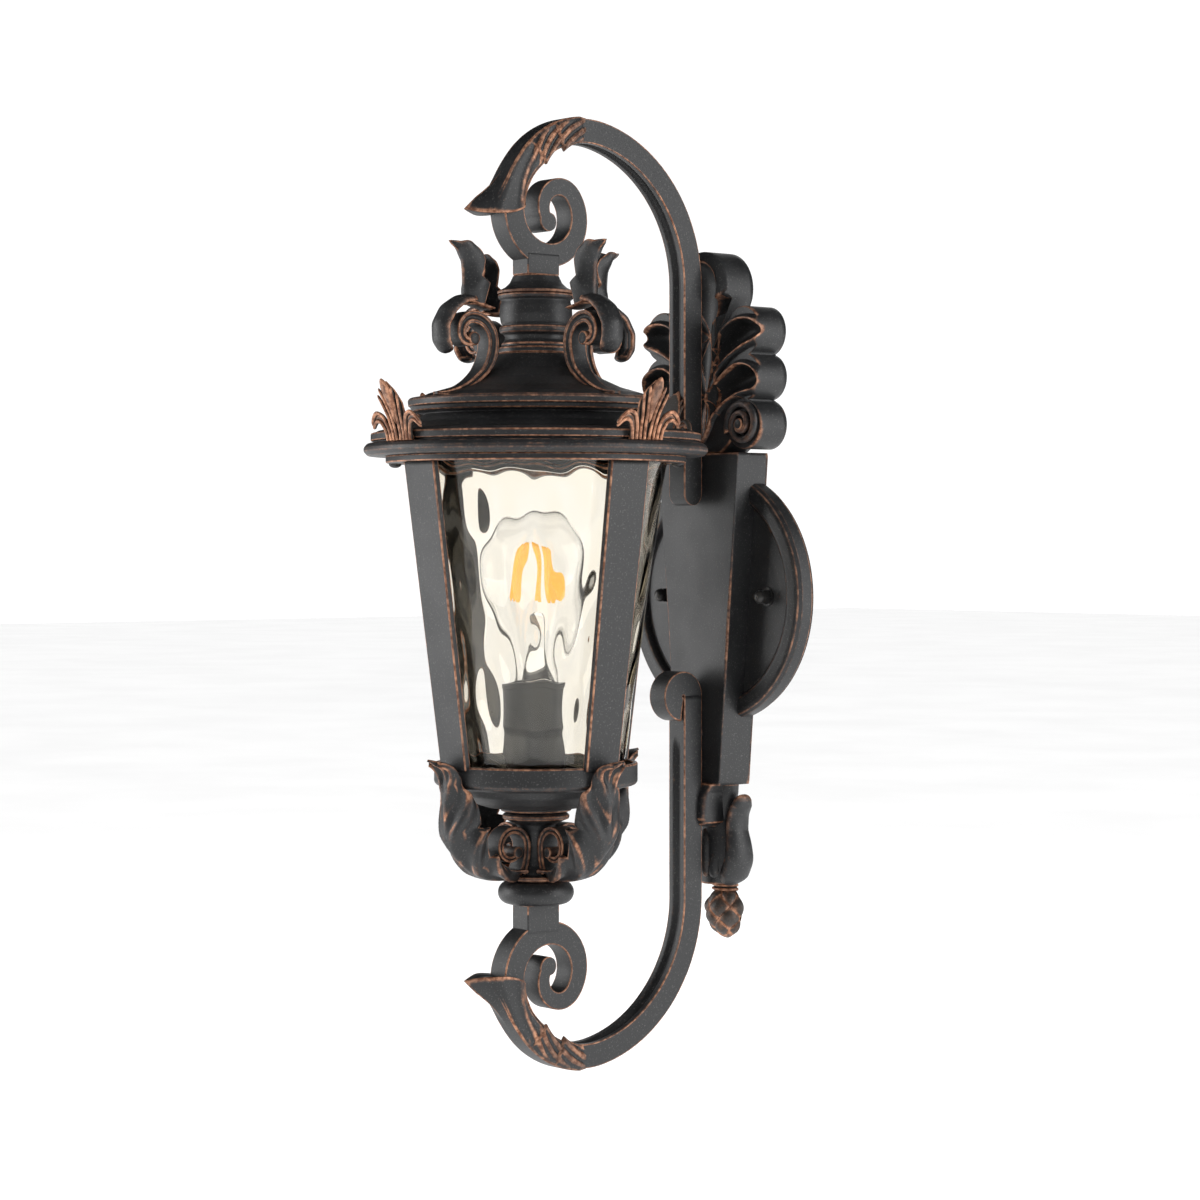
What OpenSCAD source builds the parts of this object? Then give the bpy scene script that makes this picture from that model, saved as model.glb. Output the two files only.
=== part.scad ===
// Outdoor wall lantern: a tapered glass cage hung between two scrolled arms on a wall plate.
// Millimetres. +Z up, X to the right when facing the wall, the wall is the plane Y = 0 and the
// lantern stands out towards -Y. The origin is the centre of the round canopy on the wall.

/* [Overall] */
// Distance from the wall to the lantern's axis
reach = 148; // [140:1:175]
// Height of the open cage, from the base cup's top edge to the underside of the roof rim
cage_h = 174; // [150:1:210]
// Height of the middle of the cage above the canopy's centre
cage_mid = -6; // [-20:1:20]

/* [Roof] */
// Diameter of the roof rim
rim_d = 196; // [184:1:220]
// Thickness of the roof rim
rim_t = 7.5; // [5:0.5:10]
// Height of the fillet strip and the cove between the rim and the cornice
cove_h = 17.5; // [12:0.5:24]
// Height of the cornice tier
cornice_h = 8; // [5:0.5:12]
// Diameter of the cornice tier
cornice_d = 146; // [130:1:160]
// Height of the bell above the cornice
bell_h = 25.5; // [18:0.5:36]
// Diameter of the neck that the bell runs up into
roof_neck_d = 42; // [36:1:46]
// Height of the neck
roof_neck_h = 34; // [26:1:44]
// Height of the cap on the neck
cap_h = 10.5; // [8:0.5:16]
// Diameter of the cap's top face
cap_top_d = 26; // [22:1:32]
// Wall of the roof castings
roof_wall = 3; // [2:0.5:4]
// Height of the four palmettes on the rim
palmette_h = 33; // [24:1:40]
// Width of a palmette
palmette_w = 40; // [28:1:46]
// Width of the roof scrolls
scroll_w = 11; // [8:1:16]

/* [Cage] */
// Diameter across the bars at the top of the cage
cage_top_d = 167; // [156:1:180]
// Diameter across the bars at the bottom of the cage
cage_bottom_d = 116; // [104:1:130]
// Width of a bar at its top
bar_top_w = 27; // [18:1:34]
// Width of a bar at its bottom
bar_bottom_w = 23; // [14:1:30]
// Thickness of a bar
bar_t = 4; // [3:0.5:5]
// Thickness of the ring on top of the bars
top_ring_h = 4; // [3:0.5:7]
// Width of the ring on top of the bars
top_ring_w = 9; // [8:0.5:12]
// Thickness of the glass
glass_t = 3; // [2:0.5:4]
// Gap between the bars and the glass
glass_gap = 4.5; // [3:0.5:7]

/* [Base] */
// Height of the base cup's straight wall
cup_wall_h = 12.6; // [9:0.2:18]
// Wall of the base cup
cup_wall = 3; // [2:0.5:4]
// Height of the bowl under the straight wall
bowl_h = 16; // [12:0.5:24]
// Height of the spool under the bowl
spool_h = 39; // [32:1:48]
// Diameter of the spool's collars
spool_d = 38; // [32:1:44]
// Diameter of the spool's waist
spool_waist_d = 18; // [15:1:24]
// Height of the bun under the spool
bun_h = 13; // [9:0.5:18]
// Diameter of the bun
bun_d = 43.5; // [36:0.5:50]
// Width of the leaf brackets
bracket_w = 16; // [10:1:20]

/* [Arms] */
// Width of the arms, side to side
arm_w = 14; // [10:1:18]
// Depth of the arms, across their curve
arm_t = 14; // [10:1:16]
// Radius of the big arc, at the middle of the arm
arc_r = 86; // [80:1:94]
// Gap between the arms and the wall panel, filled by pads on the arms
pad_h = 2; // [1:0.5:4]
// Width of the wire channel in the arm's hollow side
channel_w = 7; // [4:0.5:8]
// Depth of the wire channel
channel_depth = 3; // [2:0.5:4]
// Radius of the volute at the lower arm's wall end
volute_r = 10.5; // [8:0.5:12]

/* [Wall panel] */
// Depth of the wall panel, from the wall to its front face
panel_depth = 24.5; // [20:0.5:30]
// Height of the panel's top edge above the canopy's centre
panel_top = 85; // [80:1:100]
// Depth of the panel's bottom edge below the canopy's centre
panel_bottom = 112; // [100:1:130]
// Width of the panel at its top
panel_top_w = 71; // [60:1:80]
// Width of the panel at its bottom
panel_bottom_w = 38; // [32:1:50]
// Wall of the panel, the crest and the drop leaf
panel_wall = 3; // [2:0.5:4]
// Height of the shell crest
crest_h = 120; // [100:1:140]
// Width of the shell crest
crest_w = 102; // [90:1:116]
// Height of the drop leaf
drop_h = 60; // [45:1:75]
// Height of the pine cone
cone_h = 29; // [22:1:36]
// Width of the pine cone
cone_w = 30; // [22:1:34]

/* [Wall mount] */
// Diameter of the round canopy
canopy_d = 150; // [140:1:170]
// Depth of the canopy's rim
canopy_depth = 13; // [11:0.5:18]
// Wall of the canopy
canopy_wall = 2; // [1.5:0.5:3]
// Width of the canopy's raised rim
canopy_rim_w = 12; // [8:1:16]
// How far the canopy's floor lies behind its rim
canopy_floor_in = 4; // [3:0.5:5]
// Distance between the two fixing studs
stud_spacing = 89; // [84:1:96]
// Diameter of the fixing studs
stud_d = 5; // [4:0.5:6]
// Length of the wall bracket
bracket_len = 122; // [114:1:130]
// Height of the wall bracket
bracket_h = 26; // [20:1:32]
// Thickness of the wall bracket
bracket_t = 2; // [1.5:0.5:3]
// Width of the wall screw slots
wall_slot_w = 5; // [4:0.5:6]
// Length of the wall screw slots, end to end
wall_slot_len = 12; // [8:1:16]
// Distance between the wall screw slots
wall_slot_spacing = 60; // [54:1:64]
// Thickness of the gasket between the canopy and the wall
gasket_t = 1.5; // [1:0.5:3]

/* [Lamp] */
// Diameter of the lamp's glass
bulb_d = 62; // [50:1:70]
// Height of the lamp's glass
bulb_h = 100; // [80:1:104]
// Diameter of the lamp's screw cap
lamp_cap_d = 26; // [26:0.5:27]
// Length of the lamp's screw cap
lamp_cap_h = 26; // [24:1:27]
// Outside diameter of the lampholder at its mouth
holder_d = 39; // [36:1:42]
// Height of the lampholder
holder_h = 53; // [48:1:60]
// Diameter of the hollow tie rod
rod_d = 10; // [8:0.5:10]
// Bore of the hollow tie rod
rod_bore = 6; // [5:0.5:6.5]

/* [Fasteners and fits] */
// Diameter of the screws in the panel, the arms and the rim
screw_d = 4; // [3:0.5:5]
// Diameter of the screw heads
screw_head_d = 7.5; // [6:0.5:9]
// Height of the screw heads
screw_head_h = 2.4; // [1.5:0.1:3]
// Gap all round a fixed bolt or rod in its hole
hole_gap = 0.2; // [0.1:0.05:0.4]
// Running gap all round a thread that turns
turn_gap = 0.05; // [0.02:0.01:0.1]
// Gap under a head or nut that turns
seat_gap = 0.1; // [0.05:0.05:0.3]
// Gap all round the lamp's cap in the holder
cap_gap = 0.3; // [0.2:0.1:0.6]

/* [Hidden] */
$fn = 64;

black = "#26282b";
bronze = "#7a5038";
steel = "#9a9da0";

// Turns of the four sides: the front faces away from the wall
FRONT = -90;
RIGHT = 0;
BACK = 90;
LEFT = 180;
through = 1; // how far a cut runs past the face it opens
fine_step = 4; // degrees between the points of a curved outline

// Heights on the lantern's axis, from the cage up
rim_z = cage_mid + cage_h / 2;
rim_top = rim_z + rim_t;
cornice_z = rim_top + cove_h;
bell_z = cornice_z + cornice_h;
neck_z = bell_z + bell_h;
cap_z = neck_z + roof_neck_h;
cap_top = cap_z + cap_h;
// and from the cage down
cup_top = cage_mid - cage_h / 2;
bowl_z = cup_top - cup_wall_h;
spool_top = bowl_z - bowl_h;
spool_z = spool_top - spool_h;
bun_z = spool_z - bun_h;

rim_r = rim_d / 2;
strip_r = rim_r - 4;
strip_h = 5.5;
cornice_r = cornice_d / 2;
cove_r = cornice_r - 9;
bell_foot_r = cove_r;
neck_r = roof_neck_d / 2;
cage_top_r = cage_top_d / 2;
cup_r = cage_bottom_d / 2;
bar_bottom_z = cup_top;
bar_top_z = rim_z - top_ring_h;
bar_top_r = cage_top_r;
bar_bottom_r = cup_r + 1.6;
bar_tilt = atan((bar_top_r - bar_bottom_r) / (bar_top_z - bar_bottom_z));

gasket_h = 2;
glass_top = rim_z - gasket_h;
cup_floor = bowl_z + cup_wall;
glass_bottom = cup_floor + gasket_h;
glass_r_top = bar_radius(glass_top) - bar_t - glass_gap;
glass_r_bottom = min(bar_radius(glass_bottom) - bar_t - glass_gap, cup_r - cup_wall - 1);

screw_r = screw_d / 2;
rod_r = rod_d / 2;
arc_offset = 28; // how far the big arc's centre lies wallwards of the lantern's axis
bar_y = -reach + arc_offset + arc_r; // middle of the arms' upright bars
pad_back = -panel_depth;
arm_back = bar_y + arm_t / 2;
scroll_sink = 0.8; // how far the scroll's ring lies inside the level of its foot
upper_arc_z = cap_top - scroll_sink;
lower_drop = 4.4; // how far below the bun the lower arm's arc is centred
lower_arc_z = bun_z - lower_drop;
// Where the arms' upright bars end
upper_end = 54;
lower_end = -59;
// The block that stands on the cap, and hangs under the bun
foot_h = 9;
foot_len = 23;

// Each arc of the scroll after the upright bar: [radius, sweep]
arm_arcs = [[arc_r, 80], [55, 87], [25, 118], [21.5, 114], [12, 185]];
canopy_r = canopy_d / 2;
floor_y = -canopy_depth + canopy_floor_in;
nut_seat = floor_y - 1;
grommet_r = 8;

holder_top = holder_z() + holder_h;
holder_r = holder_d / 2;
cap_bottom = holder_top - lamp_cap_h - 2.5;
cap_top_z = cap_bottom + lamp_cap_h;
shell_t = 0.6;
lamp_cap_r = lamp_cap_d / 2;
shell_r = lamp_cap_r + cap_gap;

function holder_z() = cup_floor + 2.5;
function bar_radius(z) = bar_bottom_r + (bar_top_r - bar_bottom_r) * (z - bar_bottom_z)
    / (bar_top_z - bar_bottom_z);

// Points along a chain of arcs, each [x, y, heading, turned so far]
function arc_points(pos, heading, turned, arc) =
    let (side = arc[1] < 0 ? -1 : 1,
         steps = max(3, ceil(abs(arc[1]) / fine_step)),
         centre = pos + side * arc[0] * [-sin(heading), cos(heading)])
    [for (k = [1 : steps])
        let (h = heading + arc[1] * k / steps, p = centre + side * arc[0] * [sin(h), -cos(h)])
        [p[0], p[1], h, turned + abs(arc[1]) * k / steps]];
function chain(pos, heading, arcs, k = 0, turned = 0) =
    k == len(arcs) ? [] :
    let (pts = arc_points(pos, heading, turned, arcs[k]), last = pts[len(pts) - 1])
    concat(pts, chain([last[0], last[1]], last[2], arcs, k + 1, last[3]));
// One side of a band along such points, at a signed distance
function side_of(pts, off) =
    [for (k = [0 : len(pts) - 1]) let (p = pts[k]) [p[0] + off[k] * sin(p[2]), p[1] - off[k] * cos(p[2])]];
function backwards(list) = [for (k = [len(list) - 1 : -1 : 0]) list[k]];
function band(pts, right, left) = concat(side_of(pts, right), backwards(side_of(pts, left)));

// A flat shape drawn in the arms' plane (across Y, up Z), given a width along X
module upright_plate(w) {
    rotate([90, 0, 90]) translate([0, 0, -w / 2]) linear_extrude(w) children();
}

// The same about the lantern's axis: the shape's x is the distance from the axis
module radial_plate(turn, w) {
    translate([0, -reach, 0]) rotate([0, 0, turn]) rotate([90, 0, 0])
        translate([0, 0, -w / 2]) linear_extrude(w) children();
}

module on_axis() {
    translate([0, -reach, 0]) children();
}

// A shape of revolution about a line that runs out from the wall
module out_from_wall(x, z) {
    translate([x, 0, z]) rotate([90, 0, 0]) children();
}

// A plain screw with a domed head; the head is below the origin, the shank above
module screw(length, shank_r) {
    cylinder(h = length, r = shank_r);
    rotate_extrude() intersection() {
        translate([0, -0.001]) scale([screw_head_d / 2, screw_head_h]) circle(r = 1);
        translate([0, -screw_head_h]) square([screw_head_d / 2, screw_head_h]);
    }
}

// ---- Wall mount ----

module slot_shape() {
    for (side = [-1, 1])
        translate([side * (wall_slot_len - wall_slot_w) / 2, 0]) circle(d = wall_slot_w);
    square([wall_slot_len - wall_slot_w, wall_slot_w], center = true);
}

module wall_bracket() {
    end_r = bracket_h / 2;
    color(steel) rotate([90, 0, 0]) linear_extrude(bracket_t) difference() {
        union() {
            square([bracket_len - bracket_h, bracket_h], center = true);
            for (side = [-1, 1])
                translate([side * (bracket_len / 2 - end_r), 0]) circle(r = end_r);
        }
        circle(r = grommet_r + 2);
        for (side = [-1, 1]) {
            translate([side * stud_spacing / 2, 0]) circle(d = stud_d);
            translate([side * wall_slot_spacing / 2, 0]) slot_shape();
        }
    }
}

module bracket_studs() {
    stud_end = -nut_seat + 5;
    color(steel) for (side = [-1, 1])
        out_from_wall(side * stud_spacing / 2, 0) {
            cylinder(h = stud_end, d = stud_d);
            translate([0, 0, bracket_t]) cylinder(h = 2, d = stud_d * 1.7, $fn = 6);
        }
}

module wall_gasket() {
    color("#1b1b1c") out_from_wall(0, 0) linear_extrude(gasket_t) difference() {
        circle(r = canopy_r - 1);
        circle(r = canopy_r - 6);
    }
}

module canopy() {
    floor_r = canopy_r - canopy_rim_w;
    back = gasket_t;
    color(black) out_from_wall(0, 0) difference() {
        rotate_extrude($fn = 128) polygon([
            [0, -floor_y], [floor_r - 2, -floor_y], [floor_r, canopy_depth - 1.5],
            [floor_r + 2, canopy_depth], [canopy_r - 3, canopy_depth],
            [canopy_r - 0.8, canopy_depth - 1.2], [canopy_r, canopy_depth - 3.5],
            [canopy_r, back], [canopy_r - canopy_wall, back],
            [canopy_r - canopy_wall, canopy_depth - 3.5],
            [canopy_r - 4, canopy_depth - canopy_wall], [floor_r + 2, canopy_depth - canopy_wall],
            [floor_r - 0.5, -floor_y - canopy_wall], [0, -floor_y - canopy_wall]]);
        translate([0, 0, -through]) cylinder(h = canopy_depth + 2 * through, r = grommet_r - 1);
        for (side = [-1, 1]) translate([side * stud_spacing / 2, 0, -through])
            cylinder(h = canopy_depth + 2 * through, r = stud_d / 2 + hole_gap);
        for (z = panel_screw_z) translate([0, z, -through])
            cylinder(h = canopy_depth + 2 * through, r = screw_r + hole_gap);
    }
}

module canopy_washers() {
    color(steel) for (side = [-1, 1]) translate([side * stud_spacing / 2, floor_y, 0])
        rotate([90, 0, 0]) difference() {
            cylinder(h = floor_y - nut_seat, d = stud_d * 2.2);
            translate([0, 0, -through])
                cylinder(h = floor_y - nut_seat + 2 * through, r = stud_d / 2 + hole_gap);
        }
}

// A domed nut that turns on its stud
module cap_nut(side) {
    nut_r = stud_d * 0.92;
    nut_h = 4.5;
    color(black) translate([side * stud_spacing / 2, nut_seat - seat_gap, 0]) rotate([90, 0, 0])
        difference() {
            union() {
                cylinder(h = nut_h, r = nut_r, $fn = 6);
                translate([0, 0, nut_h]) intersection() {
                    sphere(r = nut_r * cos(30));
                    cylinder(h = nut_r, r = nut_r);
                }
            }
            translate([0, 0, -through]) cylinder(h = 6 + through, r = stud_d / 2 + turn_gap);
        }
}
module cap_nut_left() { cap_nut(-1); }
module cap_nut_right() { cap_nut(1); }

module cable_grommet() {
    hole_r = grommet_r - 1;
    floor_back = -floor_y - canopy_wall;
    color("#161616") out_from_wall(0, 0) difference() {
        union() {
            translate([0, 0, floor_back - 1.5]) cylinder(h = 1.5, r = grommet_r + 1);
            translate([0, 0, floor_back]) cylinder(h = canopy_wall, r = hole_r);
            translate([0, 0, -floor_y]) cylinder(h = 1.5, r = grommet_r + 1);
        }
        translate([0, 0, -through]) cylinder(h = 20, r = 4);
    }
}

// ---- Wall panel, crest and drop leaf ----

panel_screw_z = [-48, 44];
upper_screw_z = [upper_end + 10, upper_end + 24];
lower_screw_z = [lower_end - 22, lower_end - 40];

function panel_half(z, grow) =
    let (share = (z + panel_bottom) / (panel_top + panel_bottom))
    panel_bottom_w / 2 + (panel_top_w - panel_bottom_w) / 2 * share - grow;
module panel_outline(in) {
    polygon([
        [-panel_half(-panel_bottom, in), -panel_bottom + in],
        [panel_half(-panel_bottom, in), -panel_bottom + in],
        [panel_half(panel_top, in), panel_top - in],
        [-panel_half(panel_top, in), panel_top - in]]);
}

module wall_panel() {
    front_step = 1.2;
    color(black) difference() {
        union() {
            difference() {
                rotate([90, 0, 0]) linear_extrude(panel_depth) panel_outline(0);
                translate([0, through, 0]) rotate([90, 0, 0])
                    linear_extrude(panel_depth - panel_wall + through) panel_outline(panel_wall);
                out_from_wall(0, 0) translate([0, 0, -through])
                    cylinder(h = canopy_depth + through, r = canopy_r + hole_gap);
            }
            // bosses that stand on the canopy's floor
            for (z = panel_screw_z) out_from_wall(0, z) translate([0, 0, -floor_y])
                cylinder(h = panel_depth + floor_y - front_step, r = screw_r + 3);
        }
        for (z = panel_screw_z) out_from_wall(0, z) translate([0, 0, -floor_y - through])
            cylinder(h = 8 + through, r = screw_r);
        for (z = concat(upper_screw_z, lower_screw_z)) out_from_wall(0, z)
            translate([0, 0, panel_depth - panel_wall - through])
                cylinder(h = panel_wall + 2 * through, r = screw_r + hole_gap);
    }
}

module panel_screws() {
    start = -floor_y - canopy_wall;
    color(steel) for (z = panel_screw_z) out_from_wall(0, z) translate([0, 0, start])
        screw(canopy_wall + 7.5, screw_r);
}

module terminal_block() {
    way = 8;
    hollow = panel_depth - panel_wall - canopy_depth + canopy_floor_in;
    block_h = min(9, hollow - 1);
    block_z = 18;
    color("#d9d5cb") translate([0, -panel_depth + panel_wall, block_z]) difference() {
        translate([-1.5 * way, 0, -8]) cube([3 * way, block_h, 16]);
        for (k = [-1, 0, 1]) {
            translate([k * way, block_h / 2, -8 - through]) cylinder(h = 16 + 2 * through, d = 3);
            for (end = [-4, 4]) translate([k * way, block_h + through, end])
                rotate([90, 0, 0]) cylinder(h = block_h / 2 + through, d = 3.2);
        }
    }
}

// The crest's outline: a round head over two pairs of lobes and a pair of volutes
crest_base = panel_top;
crest_half = crest_w / 2;
crest_lobes = [
    // [how far out, how far up, radius], as shares of the crest's half width and height
    [0, 0.81, 0.44], [0.71, 0.59, 0.29], [0.74, 0.37, 0.26], [0.715, 0.14, 0.285]];
module crest_outline(in) {
    for (lobe = crest_lobes) for (side = [-1, 1])
        translate([side * lobe[0] * crest_half, crest_base + lobe[1] * crest_h])
            circle(r = lobe[2] * crest_half - in);
    polygon([
        for (p = [[0.7, 0], [0.8, 0.2], [0.8, 0.38], [0.7, 0.6], [0.4, 0.75]])
            [p[0] * crest_half - in, crest_base + p[1] * crest_h + (p[1] == 0 ? in : 0)],
        for (p = [[0.4, 0.75], [0.7, 0.6], [0.8, 0.38], [0.8, 0.2], [0.7, 0]])
            [-p[0] * crest_half + in, crest_base + p[1] * crest_h + (p[1] == 0 ? in : 0)]]);
}

module crest_shell() {
    ray_r = 2.2;
    fan_z = crest_base + 0.12 * crest_h;
    color(black) difference() {
        rotate([90, 0, 0]) linear_extrude(panel_depth) crest_outline(0);
        translate([0, through, 0]) rotate([90, 0, 0])
            linear_extrude(panel_depth - 2 * panel_wall + through) crest_outline(panel_wall);
        // flutes that spread from the foot of the shell
        for (a = [-60 : 20 : 60]) translate([0, -panel_depth - 0.4, fan_z])
            rotate([0, a, 0]) translate([0, 0, 18])
                cylinder(h = 0.42 * crest_h, r = ray_r);
    }
}

// The drop leaf narrows and thins from the panel's foot to the cone's collar
drop_top = -panel_bottom;
drop_bottom = drop_top - drop_h;
collar_h = 5;
collar_r = 9.5;
module drop_leaf() {
    top_half = panel_bottom_w / 2;
    color(black) intersection() {
        rotate([90, 0, 0]) linear_extrude(panel_depth) polygon([
            [-top_half, drop_top], [-top_half - 2, drop_top - 0.3 * drop_h],
            [-top_half - 1, drop_top - 0.55 * drop_h], [-0.85 * top_half, drop_top - 0.75 * drop_h],
            [-collar_r, drop_bottom], [collar_r, drop_bottom],
            [0.85 * top_half, drop_top - 0.75 * drop_h], [top_half + 1, drop_top - 0.55 * drop_h],
            [top_half + 2, drop_top - 0.3 * drop_h], [top_half, drop_top]]);
        upright_plate(2 * panel_top_w) polygon([
            [0, drop_top], [-panel_depth, drop_top], [-0.85 * panel_depth, drop_top - 0.16 * drop_h],
            [-0.55 * panel_depth, drop_top - 0.38 * drop_h],
            [-0.5 * panel_depth, drop_top - 0.6 * drop_h],
            [-0.62 * panel_depth, drop_top - 0.82 * drop_h], [-collar_r, drop_bottom],
            [0, drop_bottom]]);
    }
}

// The collar and the cone are half round, flat against the wall
module half_round(z) {
    translate([0, 0, z]) rotate([0, 0, 180]) rotate_extrude(angle = 180) children();
}
module cone_collar() {
    color(bronze) half_round(drop_bottom - collar_h) polygon([
        [0, 0], [collar_r - 2, 0], [collar_r, 1], [collar_r, 2], [collar_r - 1.5, 2.5],
        [collar_r, 3], [collar_r, 4], [collar_r - 1, collar_h], [0, collar_h]]);
}
module pine_cone() {
    cone_r = cone_w / 2;
    color(bronze) half_round(drop_bottom - collar_h - cone_h) polygon([
        [0, 0],
        for (k = [1 : 12]) let (t = k / 12)
            [cone_r * sqrt(sin(90 * min(1, t / 0.6))) * (t > 0.6 ? 1 - 2.4 * pow(t - 0.6, 2) : 1),
             cone_h * t],
        [0, cone_h]]);
}

// ---- Arms ----

// The arm's middle line, drawn for the upper arm with the arc's centre at height zero
arm_line = chain([bar_y, 0], 90, arm_arcs);
function arm_half(turned) =
    turned < 240 ? arm_t / 2 : arm_t / 2 * (1 - 0.42 * min(1, (turned - 240) / 320));
arm_out = [for (p = arm_line) arm_half(p[3])];
arm_in = [for (p = arm_line) -arm_half(p[3])];

module scroll_shape(end_z) {
    last = arm_line[len(arm_line) - 1];
    polygon(concat(
        [[bar_y + arm_t / 2, end_z], [bar_y + arm_t / 2, 0]],
        band(arm_line, arm_out, arm_in),
        [[bar_y - arm_t / 2, 0], [bar_y - arm_t / 2, end_z]]));
    translate([last[0], last[1]]) circle(r = 0.4 * arm_t);
}

// The band left at the middle of the hollow side where the wires run
channel_to = 150; // degrees of the scroll that the channel follows
channel_start = 16; // how far from the bar's end the channel starts
module channel_shape(end_z) {
    first = [for (p = arm_line) if (p[3] <= channel_to) p];
    outer = [for (p = first) -arm_t / 2 + channel_depth];
    inner = [for (p = first) -arm_t / 2 - through];
    polygon(concat(
        [[bar_y - arm_t / 2 + channel_depth, end_z + channel_start],
         [bar_y - arm_t / 2 + channel_depth, 0]],
        band(first, outer, inner),
        [[bar_y - arm_t / 2 - through, 0], [bar_y - arm_t / 2 - through, end_z + channel_start]]));
}

// A foot that joins the ring of the scroll to the lantern
module arm_foot(flat_z, h) {
    translate([-arm_w / 2, -reach - foot_len / 2, flat_z]) cube([arm_w, foot_len, h]);
}

module arm_body(centre_z, end_z) {
    translate([0, 0, centre_z]) difference() {
        upright_plate(arm_w) scroll_shape(end_z - centre_z);
        upright_plate(channel_w) channel_shape(end_z - centre_z);
    }
}

module arm_pads(screws) {
    for (z = screws) translate([0, arm_back + through, z]) rotate([-90, 0, 0])
        translate([0, 0, -through]) cylinder(h = pad_back - arm_back, r = arm_w / 2 - 1);
}
module arm_screw_holes(screws) {
    for (z = screws) translate([0, pad_back + through, z]) rotate([90, 0, 0])
        cylinder(h = 9 + pad_back - arm_back, r = screw_r);
}

bolt_hole = 12; // depth of the cap bolt's hole in the upper arm's foot
rod_hole = 13; // depth of the tie rod's hole in the lower arm's foot
module upper_arm() {
    color(black) difference() {
        union() {
            arm_body(upper_arc_z, upper_end + arm_t / 2);
            arm_foot(cap_top, foot_h);
            arm_pads(upper_screw_z);
            translate([0, bar_y, upper_end + arm_t / 2]) rotate([0, 90, 0])
                cylinder(h = arm_w, r = arm_t / 2, center = true);
        }
        arm_screw_holes(upper_screw_z);
        on_axis() translate([0, 0, cap_top - through])
            cylinder(h = bolt_hole + through, r = screw_r + hole_gap);
    }
}

// The lower arm is the upper one turned over, with a volute at its wall end
volute_wall = 4;
volute_y = bar_y + arm_t / 2 - volute_r - volute_wall;
module lower_arm() {
    color(black) difference() {
        union() {
            mirror([0, 0, 1]) arm_body(-lower_arc_z, -lower_end);
            translate([0, 0, bun_z]) mirror([0, 0, 1])
                arm_foot(0, foot_h + scroll_sink + lower_drop);
            arm_pads(lower_screw_z);
            translate([0, volute_y, lower_end]) rotate([0, 90, 0])
                cylinder(h = arm_w, r = volute_r + volute_wall, center = true);
        }
        arm_screw_holes(lower_screw_z);
        on_axis() translate([0, 0, bun_z - rod_hole]) cylinder(h = rod_hole + through, r = rod_r);
        for (side = [-1, 1]) translate([side * arm_w / 2, volute_y, lower_end])
            rotate([0, 90, 0]) difference() {
                cylinder(h = 3, r = volute_r - 1, center = true);
                cylinder(h = 4, r = volute_r - 5.5, center = true);
            }
    }
}

module arm_screws() {
    start = panel_depth - panel_wall;
    grip = panel_wall + 7 + pad_back - arm_back;
    color(steel) for (z = concat(upper_screw_z, lower_screw_z))
        out_from_wall(0, z) translate([0, 0, start]) screw(grip, screw_r);
}

// A leaf wrapped round the outer side of the scroll, with its tip flung outwards
leaf_from = 92;
leaf_to = 165;
leaf_t = 3;
module leaf_shape() {
    part = [for (p = arm_line) if (p[3] >= leaf_from && p[3] <= leaf_to) p];
    gap = [for (p = part) arm_half(p[3])];
    top = [for (p = part) arm_half(p[3]) + leaf_t * (0.5 + 0.5 * sin(180 * (p[3] - leaf_from)
        / (leaf_to - leaf_from)))];
    last = part[len(part) - 2];
    root = side_of([last], [arm_half(last[3])])[0];
    lip = concat([[root[0], root[1], last[2], 0]], chain(root, last[2], [[18, -75], [9, -30]]));
    lip_out = [for (k = [0 : len(lip) - 1]) leaf_t * (1.4 - 1.1 * k / (len(lip) - 1))];
    lip_in = [for (p = lip) 0];
    polygon(band(part, top, gap));
    polygon(band(lip, lip_out, lip_in));
}
module arm_leaf(centre_z) {
    translate([0, 0, centre_z]) upright_plate(arm_w + 4) leaf_shape();
}
module upper_arm_leaf() {
    color(bronze) arm_leaf(upper_arc_z);
}
module lower_arm_leaf() {
    color(bronze) mirror([0, 0, 1]) arm_leaf(-lower_arc_z);
}

// ---- Roof ----

bell_steps = 8;
// The bell's outline, a quarter of an ellipse that hollows in from the cornice to the neck
function bell_curve(in) = [for (k = [0 : bell_steps]) let (a = 90 * k / bell_steps)
    [bell_foot_r - in - (bell_foot_r - neck_r) * sin(a), bell_z + bell_h * (1 - cos(a)) - in * cos(a)]];

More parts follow.
